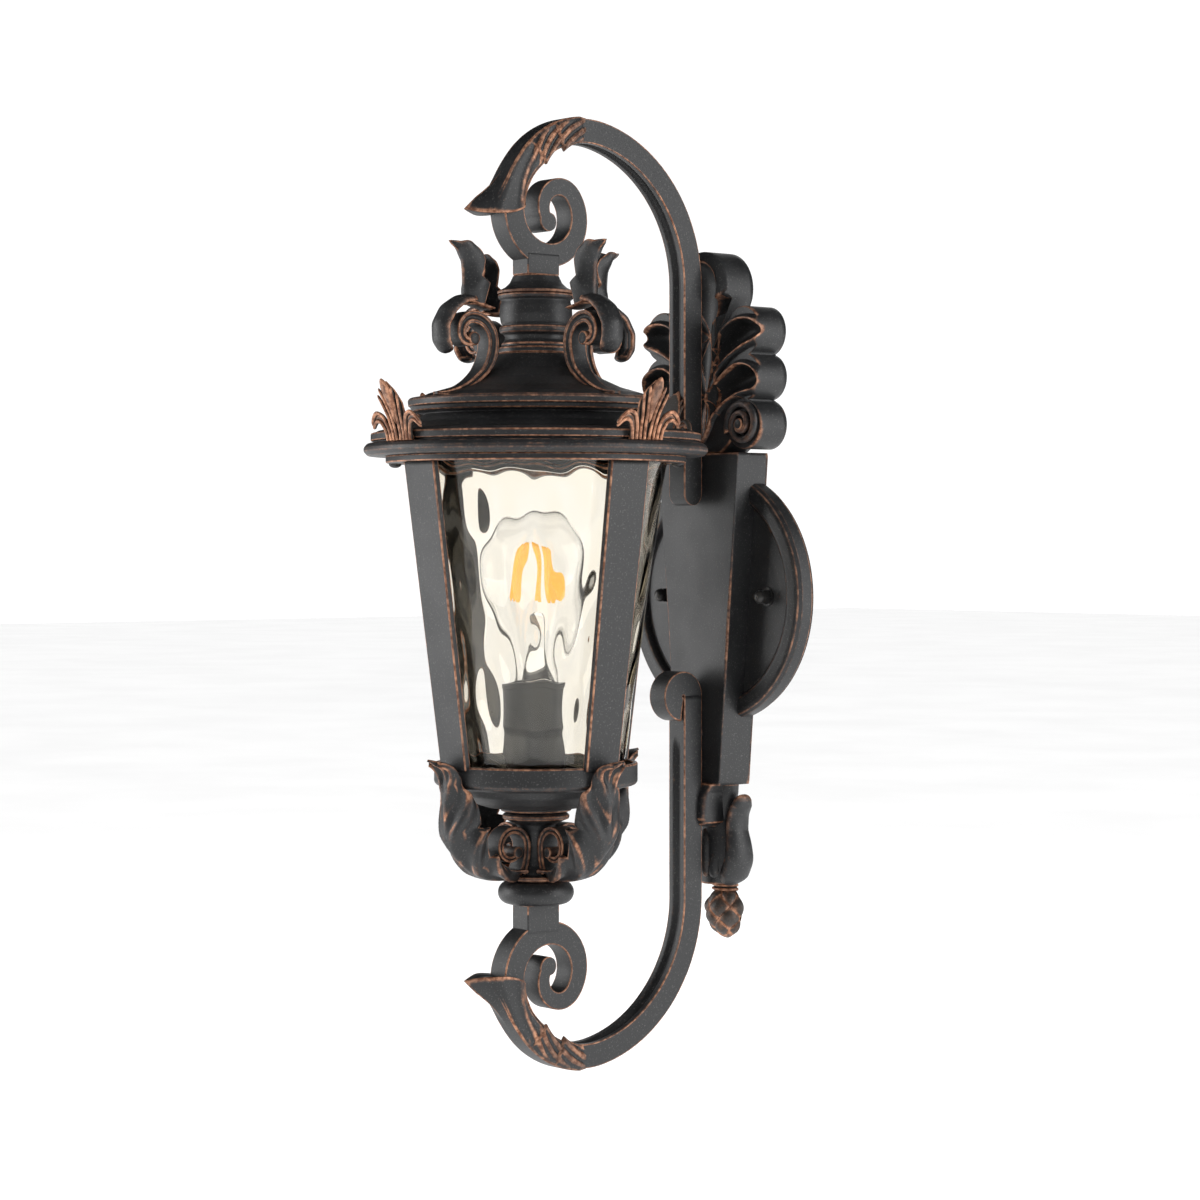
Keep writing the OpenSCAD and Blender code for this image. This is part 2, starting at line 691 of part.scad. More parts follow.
module roof_shell() {
    w = roof_wall;
    lip_r = glass_r_top - glass_t - 4;
    color(black) on_axis() difference() {
        rotate_extrude($fn = 128) polygon(concat(
            [[lip_r, rim_z], [rim_r - 2, rim_z], [rim_r, rim_z + 2.2], [rim_r, rim_top - 3],
             [rim_r - 1.6, rim_top - 0.6], [rim_r - 3.5, rim_top], [strip_r - 1.6, rim_top],
             [strip_r - 1.6, rim_top + 1], [strip_r, rim_top + 1], [strip_r, rim_top + strip_h],
             [strip_r - 3, rim_top + strip_h + 0.6], [cove_r + 10, rim_top + strip_h + 2.4],
             [cove_r + 3, cornice_z - 5], [cove_r, cornice_z - 1], [cove_r + 3, cornice_z],
             [cornice_r - 2, cornice_z], [cornice_r - 1, cornice_z + 3],
             [cornice_r, cornice_z + 4], [cornice_r, bell_z - 1], [cornice_r - 1, bell_z]],
            bell_curve(0),
            [[screw_r + hole_gap, neck_z], [screw_r + hole_gap, neck_z - w],
             [neck_r - w, neck_z - w]],
            backwards([for (k = [1 : bell_steps - 1]) bell_curve(w)[k]]),
            [[cove_r - w - 2, bell_z - w], [cove_r - w, cornice_z - 4],
             [cove_r + 3, rim_top + strip_h - w], [strip_r - 9, rim_top + strip_h - w],
             [strip_r - 9, rim_z + w], [lip_r, rim_z + w]]));
        for (turn = [45, 225]) rotate([0, 0, turn]) translate([rim_screw_r, 0, rim_z - through])
            cylinder(h = w + 2 * through, r = screw_r + turn_gap);
    }
}

module roof_neck() {
    n = roof_neck_h;
    r = neck_r;
    bore = screw_r + hole_gap;
    color(black) on_axis() rotate_extrude($fn = 96) polygon([
        [bore, neck_z], [r, neck_z], [r, neck_z + 3], [r - 1.2, neck_z + 3.6],
        [r - 0.4, neck_z + 5], [r - 1.4, neck_z + 6.4], [r - 3, neck_z + 8],
        [r - 2.2, neck_z + 0.32 * n], [r - 0.4, neck_z + 0.36 * n], [r, neck_z + 0.4 * n],
        [r - 0.3, neck_z + 0.44 * n], [r - 1.6, neck_z + 0.46 * n], [r - 0.9, neck_z + 0.5 * n],
        [r - 0.2, neck_z + 0.7 * n], [r - 0.9, neck_z + 0.88 * n], [r - 0.9, neck_z + 0.9 * n],
        [r + 0.6, neck_z + 0.93 * n], [r + 0.8, cap_z], [bore, cap_z],
        [bore, cap_z - roof_wall], [r - 6, cap_z - roof_wall],
        [r - 6, neck_z + roof_wall], [bore, neck_z + roof_wall]]);
}

module roof_cap() {
    top_r = cap_top_d / 2;
    bore = screw_r + hole_gap;
    color(black) on_axis() rotate_extrude($fn = 96) polygon([
        [bore, cap_z], [neck_r + 0.8, cap_z], [neck_r + 1, cap_z + 1.4], [neck_r - 0.5, cap_z + 2.2],
        [neck_r - 3.4, cap_z + 0.34 * cap_h], [neck_r - 6, cap_z + 0.58 * cap_h],
        [top_r + 0.6, cap_z + 0.84 * cap_h], [top_r, cap_top], [bore, cap_top]]);
}

// A long bolt from inside the roof, up through the neck and the cap into the arm's foot
module cap_bolt() {
    color(steel) on_axis() {
        translate([0, 0, neck_z - roof_wall])
            cylinder(h = cap_top - neck_z + roof_wall + bolt_hole - 2, r = screw_r);
        translate([0, 0, neck_z - roof_wall - 3]) cylinder(h = 3, r = screw_d, $fn = 6);
    }
}

// A palmette: five rays in a fan, on a foot that stands on the rim
palmette_t = 3;
palmette_rays = [[-72, 0.68], [-38, 0.84], [0, 1], [38, 0.84], [72, 0.68]];
module palmette(turn) {
    fan_z = 0.2 * palmette_h;
    lean = 12;
    foot_r = strip_r + 1.2;
    tip_r = 0.16 * palmette_w;
    color(bronze) on_axis() rotate([0, 0, turn]) translate([foot_r, 0, rim_top])
        rotate([0, lean, 0]) difference() {
            rotate([90, 0, 90]) linear_extrude(palmette_t) {
                for (ray = palmette_rays) let (far = palmette_h * ray[1] - fan_z - tip_r) {
                    polygon([
                        [0, 0], [sin(ray[0]) * far + tip_r * cos(ray[0]), fan_z + cos(ray[0]) * far],
                        [sin(ray[0]) * (far + tip_r), fan_z + cos(ray[0]) * (far + tip_r)],
                        [sin(ray[0]) * far - tip_r * cos(ray[0]), fan_z + cos(ray[0]) * far]]);
                    translate([sin(ray[0]) * far, fan_z + cos(ray[0]) * far]) circle(r = tip_r);
                }
                translate([-0.3 * palmette_w, 0]) square([0.6 * palmette_w, fan_z]);
            }
            // level foot
            rotate([0, -lean, 0]) translate([-10, -palmette_w, -20])
                cube([30, 2 * palmette_w, 20]);
        }
}
module palmette_front() { palmette(FRONT); }
module palmette_right() { palmette(RIGHT); }
module palmette_back() { palmette(BACK); }
module palmette_left() { palmette(LEFT); }

// A roof scroll: a stem that sweeps up the bell and rolls outwards, with a leaf on top
leaf_at = 160; // degrees the stem has turned where its leaf springs
scroll_stem = [[42, -44], [24, -46], [14, -90], [8.5, -90], [5.5, -90], [4, -60]];
module roof_scroll(turn) {
    foot = [cornice_r + 1.5, bell_z + 0.6];
    line = chain(foot, 180, scroll_stem);
    half = [for (p = line) 1.4 + 2 * min(1, p[3] / 60)];
    other = [for (h = half) -h];
    last = line[len(line) - 1];
    leaf_root = [for (p = line) if (p[3] >= leaf_at) p][0];
    leaf = chain([leaf_root[0], leaf_root[1]], 122, [[34, -60], [9, -70]]);
    leaf_half = [for (k = [0 : len(leaf) - 1]) 6 - 4.5 * k / (len(leaf) - 1)];
    leaf_other = [for (h = leaf_half) -h];
    color(black) difference() {
        union() {
            radial_plate(turn, scroll_w) {
                polygon(band(line, half, other));
                translate([last[0], last[1]]) circle(r = 4.2);
            }
            radial_plate(turn, scroll_w - 2) polygon(band(leaf, leaf_half, leaf_other));
        }
        // seated on the cornice and the bell
        on_axis() translate([0, 0, bell_z - 20]) cylinder(h = 20, r = rim_r);
        on_axis() rotate_extrude($fn = 96) polygon(concat(
            [[0, bell_z - 1]], [[bell_foot_r, bell_z - 1]], bell_curve(-seat_gap),
            [[neck_r + 1.2, neck_z], [neck_r + 1.2, cap_z + 4], [0, cap_z + 4]]));
    }
}
module roof_scroll_front() { roof_scroll(FRONT); }
module roof_scroll_right() { roof_scroll(RIGHT); }
module roof_scroll_back() { roof_scroll(BACK); }
module roof_scroll_left() { roof_scroll(LEFT); }

// ---- Cage and glass ----

ring_out = cage_top_r + 2;
rim_screw_r = ring_out - top_ring_w / 2;
module cage_top_ring() {
    color(black) on_axis() difference() {
        translate([0, 0, bar_top_z]) cylinder(h = top_ring_h, r = ring_out, $fn = 128);
        translate([0, 0, bar_top_z - through])
            cylinder(h = top_ring_h + 2 * through, r = ring_out - top_ring_w, $fn = 128);
        for (turn = [45, 225]) rotate([0, 0, turn])
            translate([rim_screw_r, 0, bar_top_z - through])
                cylinder(h = top_ring_h + 2 * through, r = screw_r + turn_gap);
    }
}

module cage_bar(turn) {
    bar_h = bar_top_z - bar_bottom_z;
    run = bar_h / cos(bar_tilt);
    color(black) on_axis() rotate([0, 0, turn]) intersection() {
        translate([bar_bottom_r, 0, bar_bottom_z]) rotate([0, bar_tilt, 0])
            rotate([90, 0, -90]) linear_extrude(bar_t) polygon([
                [-bar_bottom_w / 2, -2], [bar_bottom_w / 2, -2],
                [bar_top_w / 2, run + 2], [-bar_top_w / 2, run + 2]]);
        translate([0, -bar_top_w, bar_bottom_z]) cube([2 * cage_top_r, 2 * bar_top_w, bar_h]);
    }
}
module cage_bar_front() { cage_bar(FRONT); }
module cage_bar_right() { cage_bar(RIGHT); }
module cage_bar_back() { cage_bar(BACK); }
module cage_bar_left() { cage_bar(LEFT); }

// The cup that closes the cage: a short wall, a shallow bowl and a hole for the tie rod
module base_cup() {
    w = cup_wall;
    spool_r = spool_d / 2;
    bore = rod_r + hole_gap;
    color(black) on_axis() rotate_extrude($fn = 128) polygon([
        [bore, spool_top], [spool_r - 2, spool_top], [spool_r + 1, spool_top + 1.6],
        [0.5 * cup_r, spool_top + 0.2 * bowl_h], [0.72 * cup_r, spool_top + 0.5 * bowl_h],
        [0.86 * cup_r, bowl_z - 1], [cup_r - 2, bowl_z], [cup_r, bowl_z + 1.6],
        [cup_r, cup_top], [cup_r - w, cup_top], [cup_r - w, cup_floor],
        [glass_r_bottom - glass_t - 4, cup_floor],
        [0.62 * cup_r, spool_top + 0.5 * bowl_h + w], [0.45 * cup_r, spool_top + 0.2 * bowl_h + w],
        [bore, spool_top + 0.2 * bowl_h + w]]);
}

module rim_screw(turn) {
    color(black) on_axis() rotate([0, 0, turn])
        translate([rim_screw_r, 0, bar_top_z - seat_gap]) screw(top_ring_h + 6, screw_r);
}
module rim_screw_left() { rim_screw(225); }
module rim_screw_right() { rim_screw(45); }

module glass_shade() {
    color([0.87, 0.82, 0.7, 0.45]) on_axis() rotate_extrude($fn = 128) polygon([
        [glass_r_bottom - glass_t, glass_bottom], [glass_r_bottom, glass_bottom],
        [glass_r_top, glass_top], [glass_r_top - glass_t, glass_top]]);
}

module gasket(z, inner, outer) {
    color("#1b1b1c") on_axis() translate([0, 0, z]) linear_extrude(gasket_h) difference() {
        circle(r = outer, $fn = 128);
        circle(r = inner, $fn = 128);
    }
}
module top_gasket() {
    gasket(glass_top, glass_r_top - glass_t - 1, glass_r_top + 1);
}
module bottom_gasket() {
    gasket(cup_floor, glass_r_bottom - glass_t - 1, glass_r_bottom + 0.5);
}

// ---- Lampholder, tie rod and lamp ----

rod_top = holder_z() + rod_d;
rod_bottom = bun_z - rod_hole + through;
cup_inside = spool_top + 0.2 * bowl_h + cup_wall;
module lampholder() {
    base_r = holder_r - 3;
    bore_r = shell_r + shell_t;
    color("#151515") on_axis() rotate_extrude($fn = 96) polygon([
        [rod_r, holder_z()], [base_r - 4, holder_z()], [base_r, holder_z() + 3],
        [base_r, holder_z() + 0.45 * holder_h], [holder_r - 1, holder_z() + 0.5 * holder_h],
        [holder_r, holder_top - 3], [holder_r, holder_top], [bore_r, holder_top],
        [bore_r, cap_bottom - 5], [rod_r + 3, cap_bottom - 5], [rod_r + 3, rod_top + 1],
        [rod_r, rod_top + 1]]);
}

module holder_shell() {
    color("#b98b3c") on_axis() translate([0, 0, cap_bottom - 1]) difference() {
        cylinder(h = lamp_cap_h - 1, r = shell_r + shell_t);
        translate([0, 0, -through]) cylinder(h = lamp_cap_h + 2 * through, r = shell_r);
    }
}

module holder_contact() {
    top = cap_bottom - 0.4;
    color("#b98b3c") on_axis() {
        translate([0, 0, top - 1]) cylinder(h = 1, r = 4);
        translate([4, 0, 0]) translate([-0.5, -3, cap_bottom - 5]) cube([6, 6, 0.8]);
        translate([3, -3, cap_bottom - 5]) cube([0.8, 6, top - cap_bottom + 5]);
    }
}

module tie_rod() {
    color(steel) on_axis() translate([0, 0, rod_bottom]) difference() {
        cylinder(h = rod_top - rod_bottom, r = rod_r);
        translate([0, 0, -through]) cylinder(h = rod_top - rod_bottom + 2 * through, d = rod_bore);
    }
}

module lock_nut() {
    nut_h = 5;
    color(steel) on_axis() translate([0, 0, cup_inside]) difference() {
        cylinder(h = nut_h, r = rod_d * 0.85, $fn = 6);
        translate([0, 0, -through]) cylinder(h = nut_h + 2 * through, r = rod_r);
    }
}

module neck_spool() {
    r = spool_d / 2;
    s = spool_waist_d / 2;
    h = spool_h;
    bore = rod_r + hole_gap;
    color(black) on_axis() rotate_extrude($fn = 96) polygon([
        [bore, spool_z], [r - 4, spool_z], [r - 2.6, spool_z + 1.4], [r - 3, spool_z + 3],
        [r - 5, spool_z + 4], [s + 3, spool_z + 0.16 * h], [s, spool_z + 0.26 * h],
        [s - 0.6, spool_z + 0.5 * h], [s, spool_z + 0.72 * h], [s + 3, spool_z + 0.84 * h],
        [r - 2, spool_top - 4.6], [r, spool_top - 3.6], [r, spool_top - 1.4],
        [r - 1.6, spool_top], [bore, spool_top]]);
}

module bun() {
    r = bun_d / 2;
    bulge = bun_h / 2;
    bore = rod_r + hole_gap;
    color(black) on_axis() rotate_extrude($fn = 96) polygon([
        [bore, bun_z], [r - bulge, bun_z],
        for (a = [-80 : 10 : 80]) [r - bulge + bulge * cos(a), bun_z + bulge + bulge * sin(a)],
        [r - bulge, spool_z], [bore, spool_z]]);
}

// A leaf bracket: from the spool's foot it sweeps out and up round the cup, with a scroll
// rolled in behind it against the spool's waist
bracket_leaf = [[42, 60], [30, 42], [200, 6], [12, -70], [30, -14]];
bracket_scroll = [[30, -30], [9.5, -90], [9, -95], [7, -100], [5, -90]];
module leaf_bracket(turn) {
    root = [spool_d / 2 - 5, spool_z + 6.4];
    leaf = chain(root, -14, bracket_leaf);
    leaf_n = len(leaf) - 1;
    leaf_half = [for (k = [0 : leaf_n])
        4 + 2.4 * min(1, 5 * k / leaf_n) - 5 * pow(k / leaf_n, 5)];
    leaf_other = [for (h = leaf_half) -h];
    roll = chain(root, 118, bracket_scroll);
    roll_half = [for (p = roll) 2.2];
    roll_other = [for (p = roll) -2.2];
    color(black) difference() {
        union() {
            radial_plate(turn, bracket_w) polygon(band(leaf, leaf_half, leaf_other));
            radial_plate(turn, bracket_w - 4) {
                polygon(band(roll, roll_half, roll_other));
                translate(root) circle(r = 4);
            }
        }
        // clear of the spool and the bowl, and flat against the cup's wall and the bar
        on_axis() rotate_extrude($fn = 96) polygon([
            [0, bun_z], [spool_d / 2 - 1.4, spool_z], [spool_d / 2 - 1.8, spool_z + 4.4],
            [spool_waist_d / 2 + 4, spool_z + 0.18 * spool_h],
            [spool_waist_d / 2 + 1, spool_z + 0.28 * spool_h],
            [spool_waist_d / 2 + 1, spool_z + 0.7 * spool_h],
            [spool_waist_d / 2 + 4, spool_z + 0.82 * spool_h],
            [spool_d / 2 + 0.6, spool_top - 5], [spool_d / 2 + 0.6, spool_top],
            [0.5 * cup_r, spool_top + 0.2 * bowl_h - 0.6], [0.72 * cup_r, spool_top + 0.5 * bowl_h - 0.6],
            [0.86 * cup_r, bowl_z - 1.6], [cup_r, bowl_z - 0.6], [cup_r, cup_top], [0, cup_top]]);
        radial_plate(turn, bracket_w + bar_top_w) polygon([
            [0, cup_top], [bar_bottom_r, cup_top], [bar_radius(bar_top_z), bar_top_z],
            [0, bar_top_z]]);
    }
}
module leaf_bracket_front() { leaf_bracket(FRONT); }
module leaf_bracket_right() { leaf_bracket(RIGHT); }
module leaf_bracket_back() { leaf_bracket(BACK); }
module leaf_bracket_left() { leaf_bracket(LEFT); }

neck_in = lamp_cap_r - 0.6;
bulb_r = bulb_d / 2;
bulb_steps = 12;
// The lamp's outline: a round head that narrows in a smooth curve to the cap
function bulb_curve(in) = concat(
    [for (k = [0 : bulb_steps]) let (t = k / bulb_steps, blend = (1 - cos(180 * t)) / 2)
        [neck_in - in + (bulb_r - neck_in) * blend, cap_top_z + (bulb_h - bulb_r) * t]],
    [for (k = [1 : bulb_steps]) let (a = 90 * k / bulb_steps)
        [(bulb_r - in) * cos(a), cap_top_z + bulb_h - bulb_r + (bulb_r - in) * sin(a)]]);
module bulb_glass() {
    wall = 1;
    color([0.95, 0.95, 0.92, 0.3]) on_axis() rotate_extrude($fn = 96)
        polygon(concat(bulb_curve(0), backwards(bulb_curve(wall))));
}

module bulb_cap() {
    color("#b9bcc0") on_axis() rotate_extrude() polygon([
        [0, cap_bottom], [4.5, cap_bottom], [7, cap_bottom + 2.5], [lamp_cap_r - 1, cap_bottom + 4],
        for (k = [0 : 4]) for (p = [[lamp_cap_r - 1, 0], [lamp_cap_r, 0.9], [lamp_cap_r, 2],
            [lamp_cap_r - 1, 2.9]]) [p[0], cap_bottom + 4.5 + 3.6 * k + p[1]],
        [lamp_cap_r - 0.4, cap_top_z], [0, cap_top_z]]);
}

module bulb_stem() {
    stem_h = 0.42 * bulb_h;
    color([0.9, 0.9, 0.88, 0.4]) on_axis() translate([0, 0, cap_top_z]) rotate_extrude() polygon([
        [0, 0], [10, 0], [7, 0.22 * stem_h], [3, 0.5 * stem_h], [2.4, stem_h], [0, stem_h]]);
}

// Four filament strips that lean in from a wide ring to a narrow one above it
module bulb_filaments() {
    low_r = 12;
    high_r = 6;
    fil_h = 30;
    low_z = cap_top_z + 0.44 * bulb_h;
    lean = atan((low_r - high_r) / fil_h);
    color("#ffc42e") on_axis() {
        for (turn = [0 : 90 : 270]) rotate([0, 0, turn]) translate([low_r, 0, low_z])
            rotate([0, -lean, 0]) cylinder(h = fil_h / cos(lean), r = 0.9, $fn = 24);
        for (rim = [[low_r, low_z], [high_r, low_z + fil_h]]) translate([0, 0, rim[1]])
            rotate_extrude() translate([rim[0], 0]) circle(r = 0.5, $fn = 16);
        translate([0, 0, cap_top_z + 0.42 * bulb_h]) cylinder(h = 3, r = 1.2, $fn = 24);
        for (turn = [0 : 90 : 270]) rotate([0, 0, turn]) translate([0, 0, low_z])
            rotate([0, 90, 0]) cylinder(h = low_r, r = 0.5, $fn = 16);
    }
}

wall_bracket();
bracket_studs();
wall_gasket();
canopy();
canopy_washers();
cap_nut_left();
cap_nut_right();
cable_grommet();
terminal_block();
wall_panel();
panel_screws();
crest_shell();
drop_leaf();
cone_collar();
pine_cone();
upper_arm();
upper_arm_leaf();
lower_arm();
lower_arm_leaf();
arm_screws();
roof_cap();
roof_neck();
roof_shell();
cap_bolt();
palmette_front();
palmette_right();
palmette_back();
palmette_left();
roof_scroll_front();
roof_scroll_right();
roof_scroll_back();
roof_scroll_left();
cage_top_ring();
cage_bar_front();
cage_bar_right();
cage_bar_back();
cage_bar_left();
base_cup();
rim_screw_left();
rim_screw_right();
glass_shade();
top_gasket();
bottom_gasket();
lampholder();
holder_shell();
holder_contact();
tie_rod();
lock_nut();
neck_spool();
bun();
leaf_bracket_front();
leaf_bracket_right();
leaf_bracket_back();
leaf_bracket_left();
bulb_cap();
bulb_glass();
bulb_stem();
bulb_filaments();
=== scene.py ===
import math

import bpy
import numpy as np
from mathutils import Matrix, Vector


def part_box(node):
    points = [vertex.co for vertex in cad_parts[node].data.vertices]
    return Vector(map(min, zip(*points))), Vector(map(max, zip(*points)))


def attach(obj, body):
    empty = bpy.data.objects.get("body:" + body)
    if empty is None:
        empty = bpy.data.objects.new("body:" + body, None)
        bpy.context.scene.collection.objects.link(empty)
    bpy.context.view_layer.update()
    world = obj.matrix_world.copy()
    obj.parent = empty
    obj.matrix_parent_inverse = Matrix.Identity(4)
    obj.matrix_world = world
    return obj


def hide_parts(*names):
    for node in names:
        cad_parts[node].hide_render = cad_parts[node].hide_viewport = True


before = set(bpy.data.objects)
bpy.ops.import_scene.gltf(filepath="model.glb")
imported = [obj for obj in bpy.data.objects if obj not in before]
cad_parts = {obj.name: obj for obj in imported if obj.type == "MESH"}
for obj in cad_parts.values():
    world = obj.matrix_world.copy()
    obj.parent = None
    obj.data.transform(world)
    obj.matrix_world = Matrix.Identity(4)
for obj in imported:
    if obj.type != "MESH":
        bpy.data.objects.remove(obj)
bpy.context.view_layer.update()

# All shapes below are worked out in millimetres and put into the meshes in metres.
MM = 0.001
X, Y, Z = 0, 1, 2
SIDES = (("front", -90), ("right", 0), ("back", 90), ("left", 180))


def low(node, axis):
    """A node's lowest reach along an axis, in millimetres."""
    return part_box(node)[0][axis] / MM


def high(node, axis):
    """A node's highest reach along an axis, in millimetres."""
    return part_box(node)[1][axis] / MM


# Heights and places taken from the frame
axis_y = (low("roof_cap", Y) + high("roof_cap", Y)) / 2
rim_z = low("roof_shell", Z)
neck_z = high("roof_shell", Z)
cap_z = low("roof_cap", Z)
cap_top = high("roof_cap", Z)
rim_r = high("roof_shell", X)
cup_top = high("base_cup", Z)
spool_top = low("base_cup", Z)
spool_z = low("neck_spool", Z)
bun_z = low("bun", Z)
cup_r = high("base_cup", X)
arm_half_w = high("upper_arm", X)
bar_y = high("lower_arm", Y) - 2.5 - 7
panel_top = high("wall_panel", Z)
panel_foot = low("wall_panel", Z)
panel_front = -low("wall_panel", Y)


# ---------------------------------------------------------------- shapes

def arcs(start, heading, chain, step=3.0):
    """Points along a chain of tangent arcs (radius, sweep in degrees, positive to the left).
    Gives the points, the heading at each in radians, and the degrees turned so far."""
    pos, h, turned = np.array(start, float), math.radians(heading), 0.0
    points, headings, turns = [pos[None]], [[h]], [[0.0]]
    for radius, sweep in chain:
        n = max(3, int(abs(sweep) / step))
        share = np.arange(1, n + 1) / n
        a = h + math.radians(sweep) * share
        side = math.copysign(radius, sweep)
        centre = pos + side * np.array([-math.sin(h), math.cos(h)])
        points.append(centre + side * np.stack([np.sin(a), -np.cos(a)], 1))
        headings.append(a)
        turns.append(turned + abs(sweep) * share)
        pos, h, turned = points[-1][-1], a[-1], turned + abs(sweep)
    return np.vstack(points), np.concatenate(headings), np.concatenate(turns)


def spaced(path, n):
    """The same path at n points, evenly spread along its length."""
    p, h, t = path
    run = np.concatenate([[0], np.cumsum(np.linalg.norm(np.diff(p, axis=0), axis=1))])
    at = np.linspace(0, run[-1], n)
    pick = [np.interp(at, run, c) for c in (p[:, 0], p[:, 1], h, t)]
    return np.stack(pick[:2], 1), pick[2], pick[3]


def backwards(path):
    """The same path run from its end to its start."""
    p, h, t = path
    return p[::-1], h[::-1] + math.pi, t[::-1]


def soften(corners, radius=0.55, steps=4, closed=False):
    """A line of corners with each corner turned into a small quadratic curve that starts and
    ends radius away from it, or less where a side is short, and one more point just outside
    each end of the curve."""
    c = np.array(corners, float)
    before, after = np.roll(c, 1, 0) - c, np.roll(c, -1, 0) - c
    lb = np.maximum(np.linalg.norm(before, axis=1), 1e-6)[:, None]
    la = np.maximum(np.linalg.norm(after, axis=1), 1e-6)[:, None]
    cut = np.minimum(radius, 0.38 * np.minimum(lb, la))
    a, b = c + before * (cut / lb), c + after * (cut / la)
    t = np.linspace(0, 1, steps + 1)[None, :, None]
    curve = (1 - t) ** 2 * a[:, None] + 2 * t * (1 - t) * c[:, None] + t**2 * b[:, None]
    outer_a = c + before * (np.minimum(cut + 0.3, 0.47 * lb) / lb)
    outer_b = c + after * (np.minimum(cut + 0.3, 0.47 * la) / la)
    curve = np.concatenate([outer_a[:, None], curve, outer_b[:, None]], 1)
    if closed:
        return curve.reshape(-1, 2)
    return np.vstack([c[:1], curve[1:-1].reshape(-1, 2), c[-1:]])


def in_arm_plane(w, p, q):
    """Across the arms, out from the wall, up."""
    return np.stack([w, p, q], -1)


def about_axis(turn):
    """Across, away from the lantern's axis at that turn, up."""
    c, s = math.cos(math.radians(turn)), math.sin(math.radians(turn))
    return lambda w, p, q: np.stack([p * c - w * s, axis_y + p * s + w * c, q], -1)


def on_wall(w, p, q):
    """Out from the wall, to the right, up."""
    return np.stack([p, -w, q], -1)


def swept(path, section, place):
    """A section carried along a flat path: each section point is (across the plane, to the right
    of the path), and the grid is the path's point plus that offset along its own normal."""
    p, h, _ = path
    right = np.stack([np.sin(h), -np.cos(h)], 1)
    flat = p[:, None] + section[..., 1:2] * right[:, None]
    return place(section[..., 0], flat[..., 0], flat[..., 1])


def strap(half_w, half_t, radius=0.55, hollow=0.0, hollow_half=0.55, sides=0.0, steps=4):
    """Sections of a strap: a rectangle with rounded corners, hollowed by a smooth channel on its
    left face and, by sides, along both edges. half_w and half_t are arrays over the path."""
    half_w, half_t = np.broadcast_arrays(np.atleast_1d(half_w).astype(float), half_t)
    half_w, half_t = half_w[:, None], half_t[:, None]
    r = np.minimum(radius, 0.8 * np.minimum(half_w, half_t))
    inner_w, inner_t = half_w - r, half_t - r
    share = np.concatenate([[-1], np.linspace(-0.86, 0.86, 13), [1]])[None]
    turn = np.linspace(0, math.pi / 2, steps + 1)[None]
    channel = np.atleast_1d(hollow)[:, None] * np.clip(1 - (share / hollow_half) ** 2, 0, 1) ** 2
    flute = sides * np.clip(1 - (share / 0.74) ** 2, 0, 1) ** 2
    rows = []
    for k, (sw, st) in enumerate([(1, 1), (-1, 1), (-1, -1), (1, -1)]):
        a = turn + k * math.pi / 2
        rows.append(np.stack([sw * inner_w + r * np.cos(a), st * inner_t + r * np.sin(a)], -1))
        way = share * (-1 if k < 2 else 1)
        if k % 2 == 0:
            w = way * np.maximum(inner_w - 0.3, 0.6 * inner_w)
            t = st * (half_t - (channel if k == 2 else 0)) * np.ones_like(w)
        else:
            t = way * np.maximum(inner_t - 0.3, 0.6 * inner_t)
            w = sw * (half_w - flute) * np.ones_like(t)
        rows.append(np.stack([w, t], -1))
    return np.concatenate(rows, 1)


def through(points, n, soft=10):
    """A smooth line near a few points: n points spread evenly along the straight runs between
    them, then averaged with their neighbours soft times."""
    c = np.array(points, float)
    run = np.concatenate([[0], np.cumsum(np.linalg.norm(np.diff(c, axis=0), axis=1))])
    at = np.linspace(0, run[-1], n)
    p = np.stack([np.interp(at, run, c[:, 0]), np.interp(at, run, c[:, 1])], 1)
    for _ in range(soft):
        p[1:-1] = (p[:-2] + 2 * p[1:-1] + p[2:]) / 4
    g = np.gradient(p, axis=0)
    return p, np.unwrap(np.arctan2(g[:, 1], g[:, 0])), np.linspace(0, 1, n)


def rod(path, flat, deep=None, lift=0.0, cols=22):
    """Sections of a rod for a path: ellipses flat wide along the plane and deep across it."""
    flat = np.broadcast_to(flat, len(path[0]))[:, None]
    deep = flat if deep is None else np.broadcast_to(deep, len(path[0]))[:, None]
    a = np.linspace(0, 2 * math.pi, cols, endpoint=False)[None]
    return np.stack([deep * np.cos(a) + lift, flat * np.sin(a)], -1)


def tapered(n, start, end, head=0.12, tail=0.12):
    """Sizes from start to end that close to almost nothing in a quarter ellipse at each end."""
    s = np.linspace(0, 1, n)
    a = np.sqrt(np.clip(1 - (1 - np.clip(s / head, 0, 1)) ** 2, 0.003, 1)) if head else 1.0
    b = np.sqrt(np.clip(1 - (1 - np.clip((1 - s) / tail, 0, 1)) ** 2, 0.003, 1)) if tail else 1.0
    return (start + (end - start) * s) * a * b


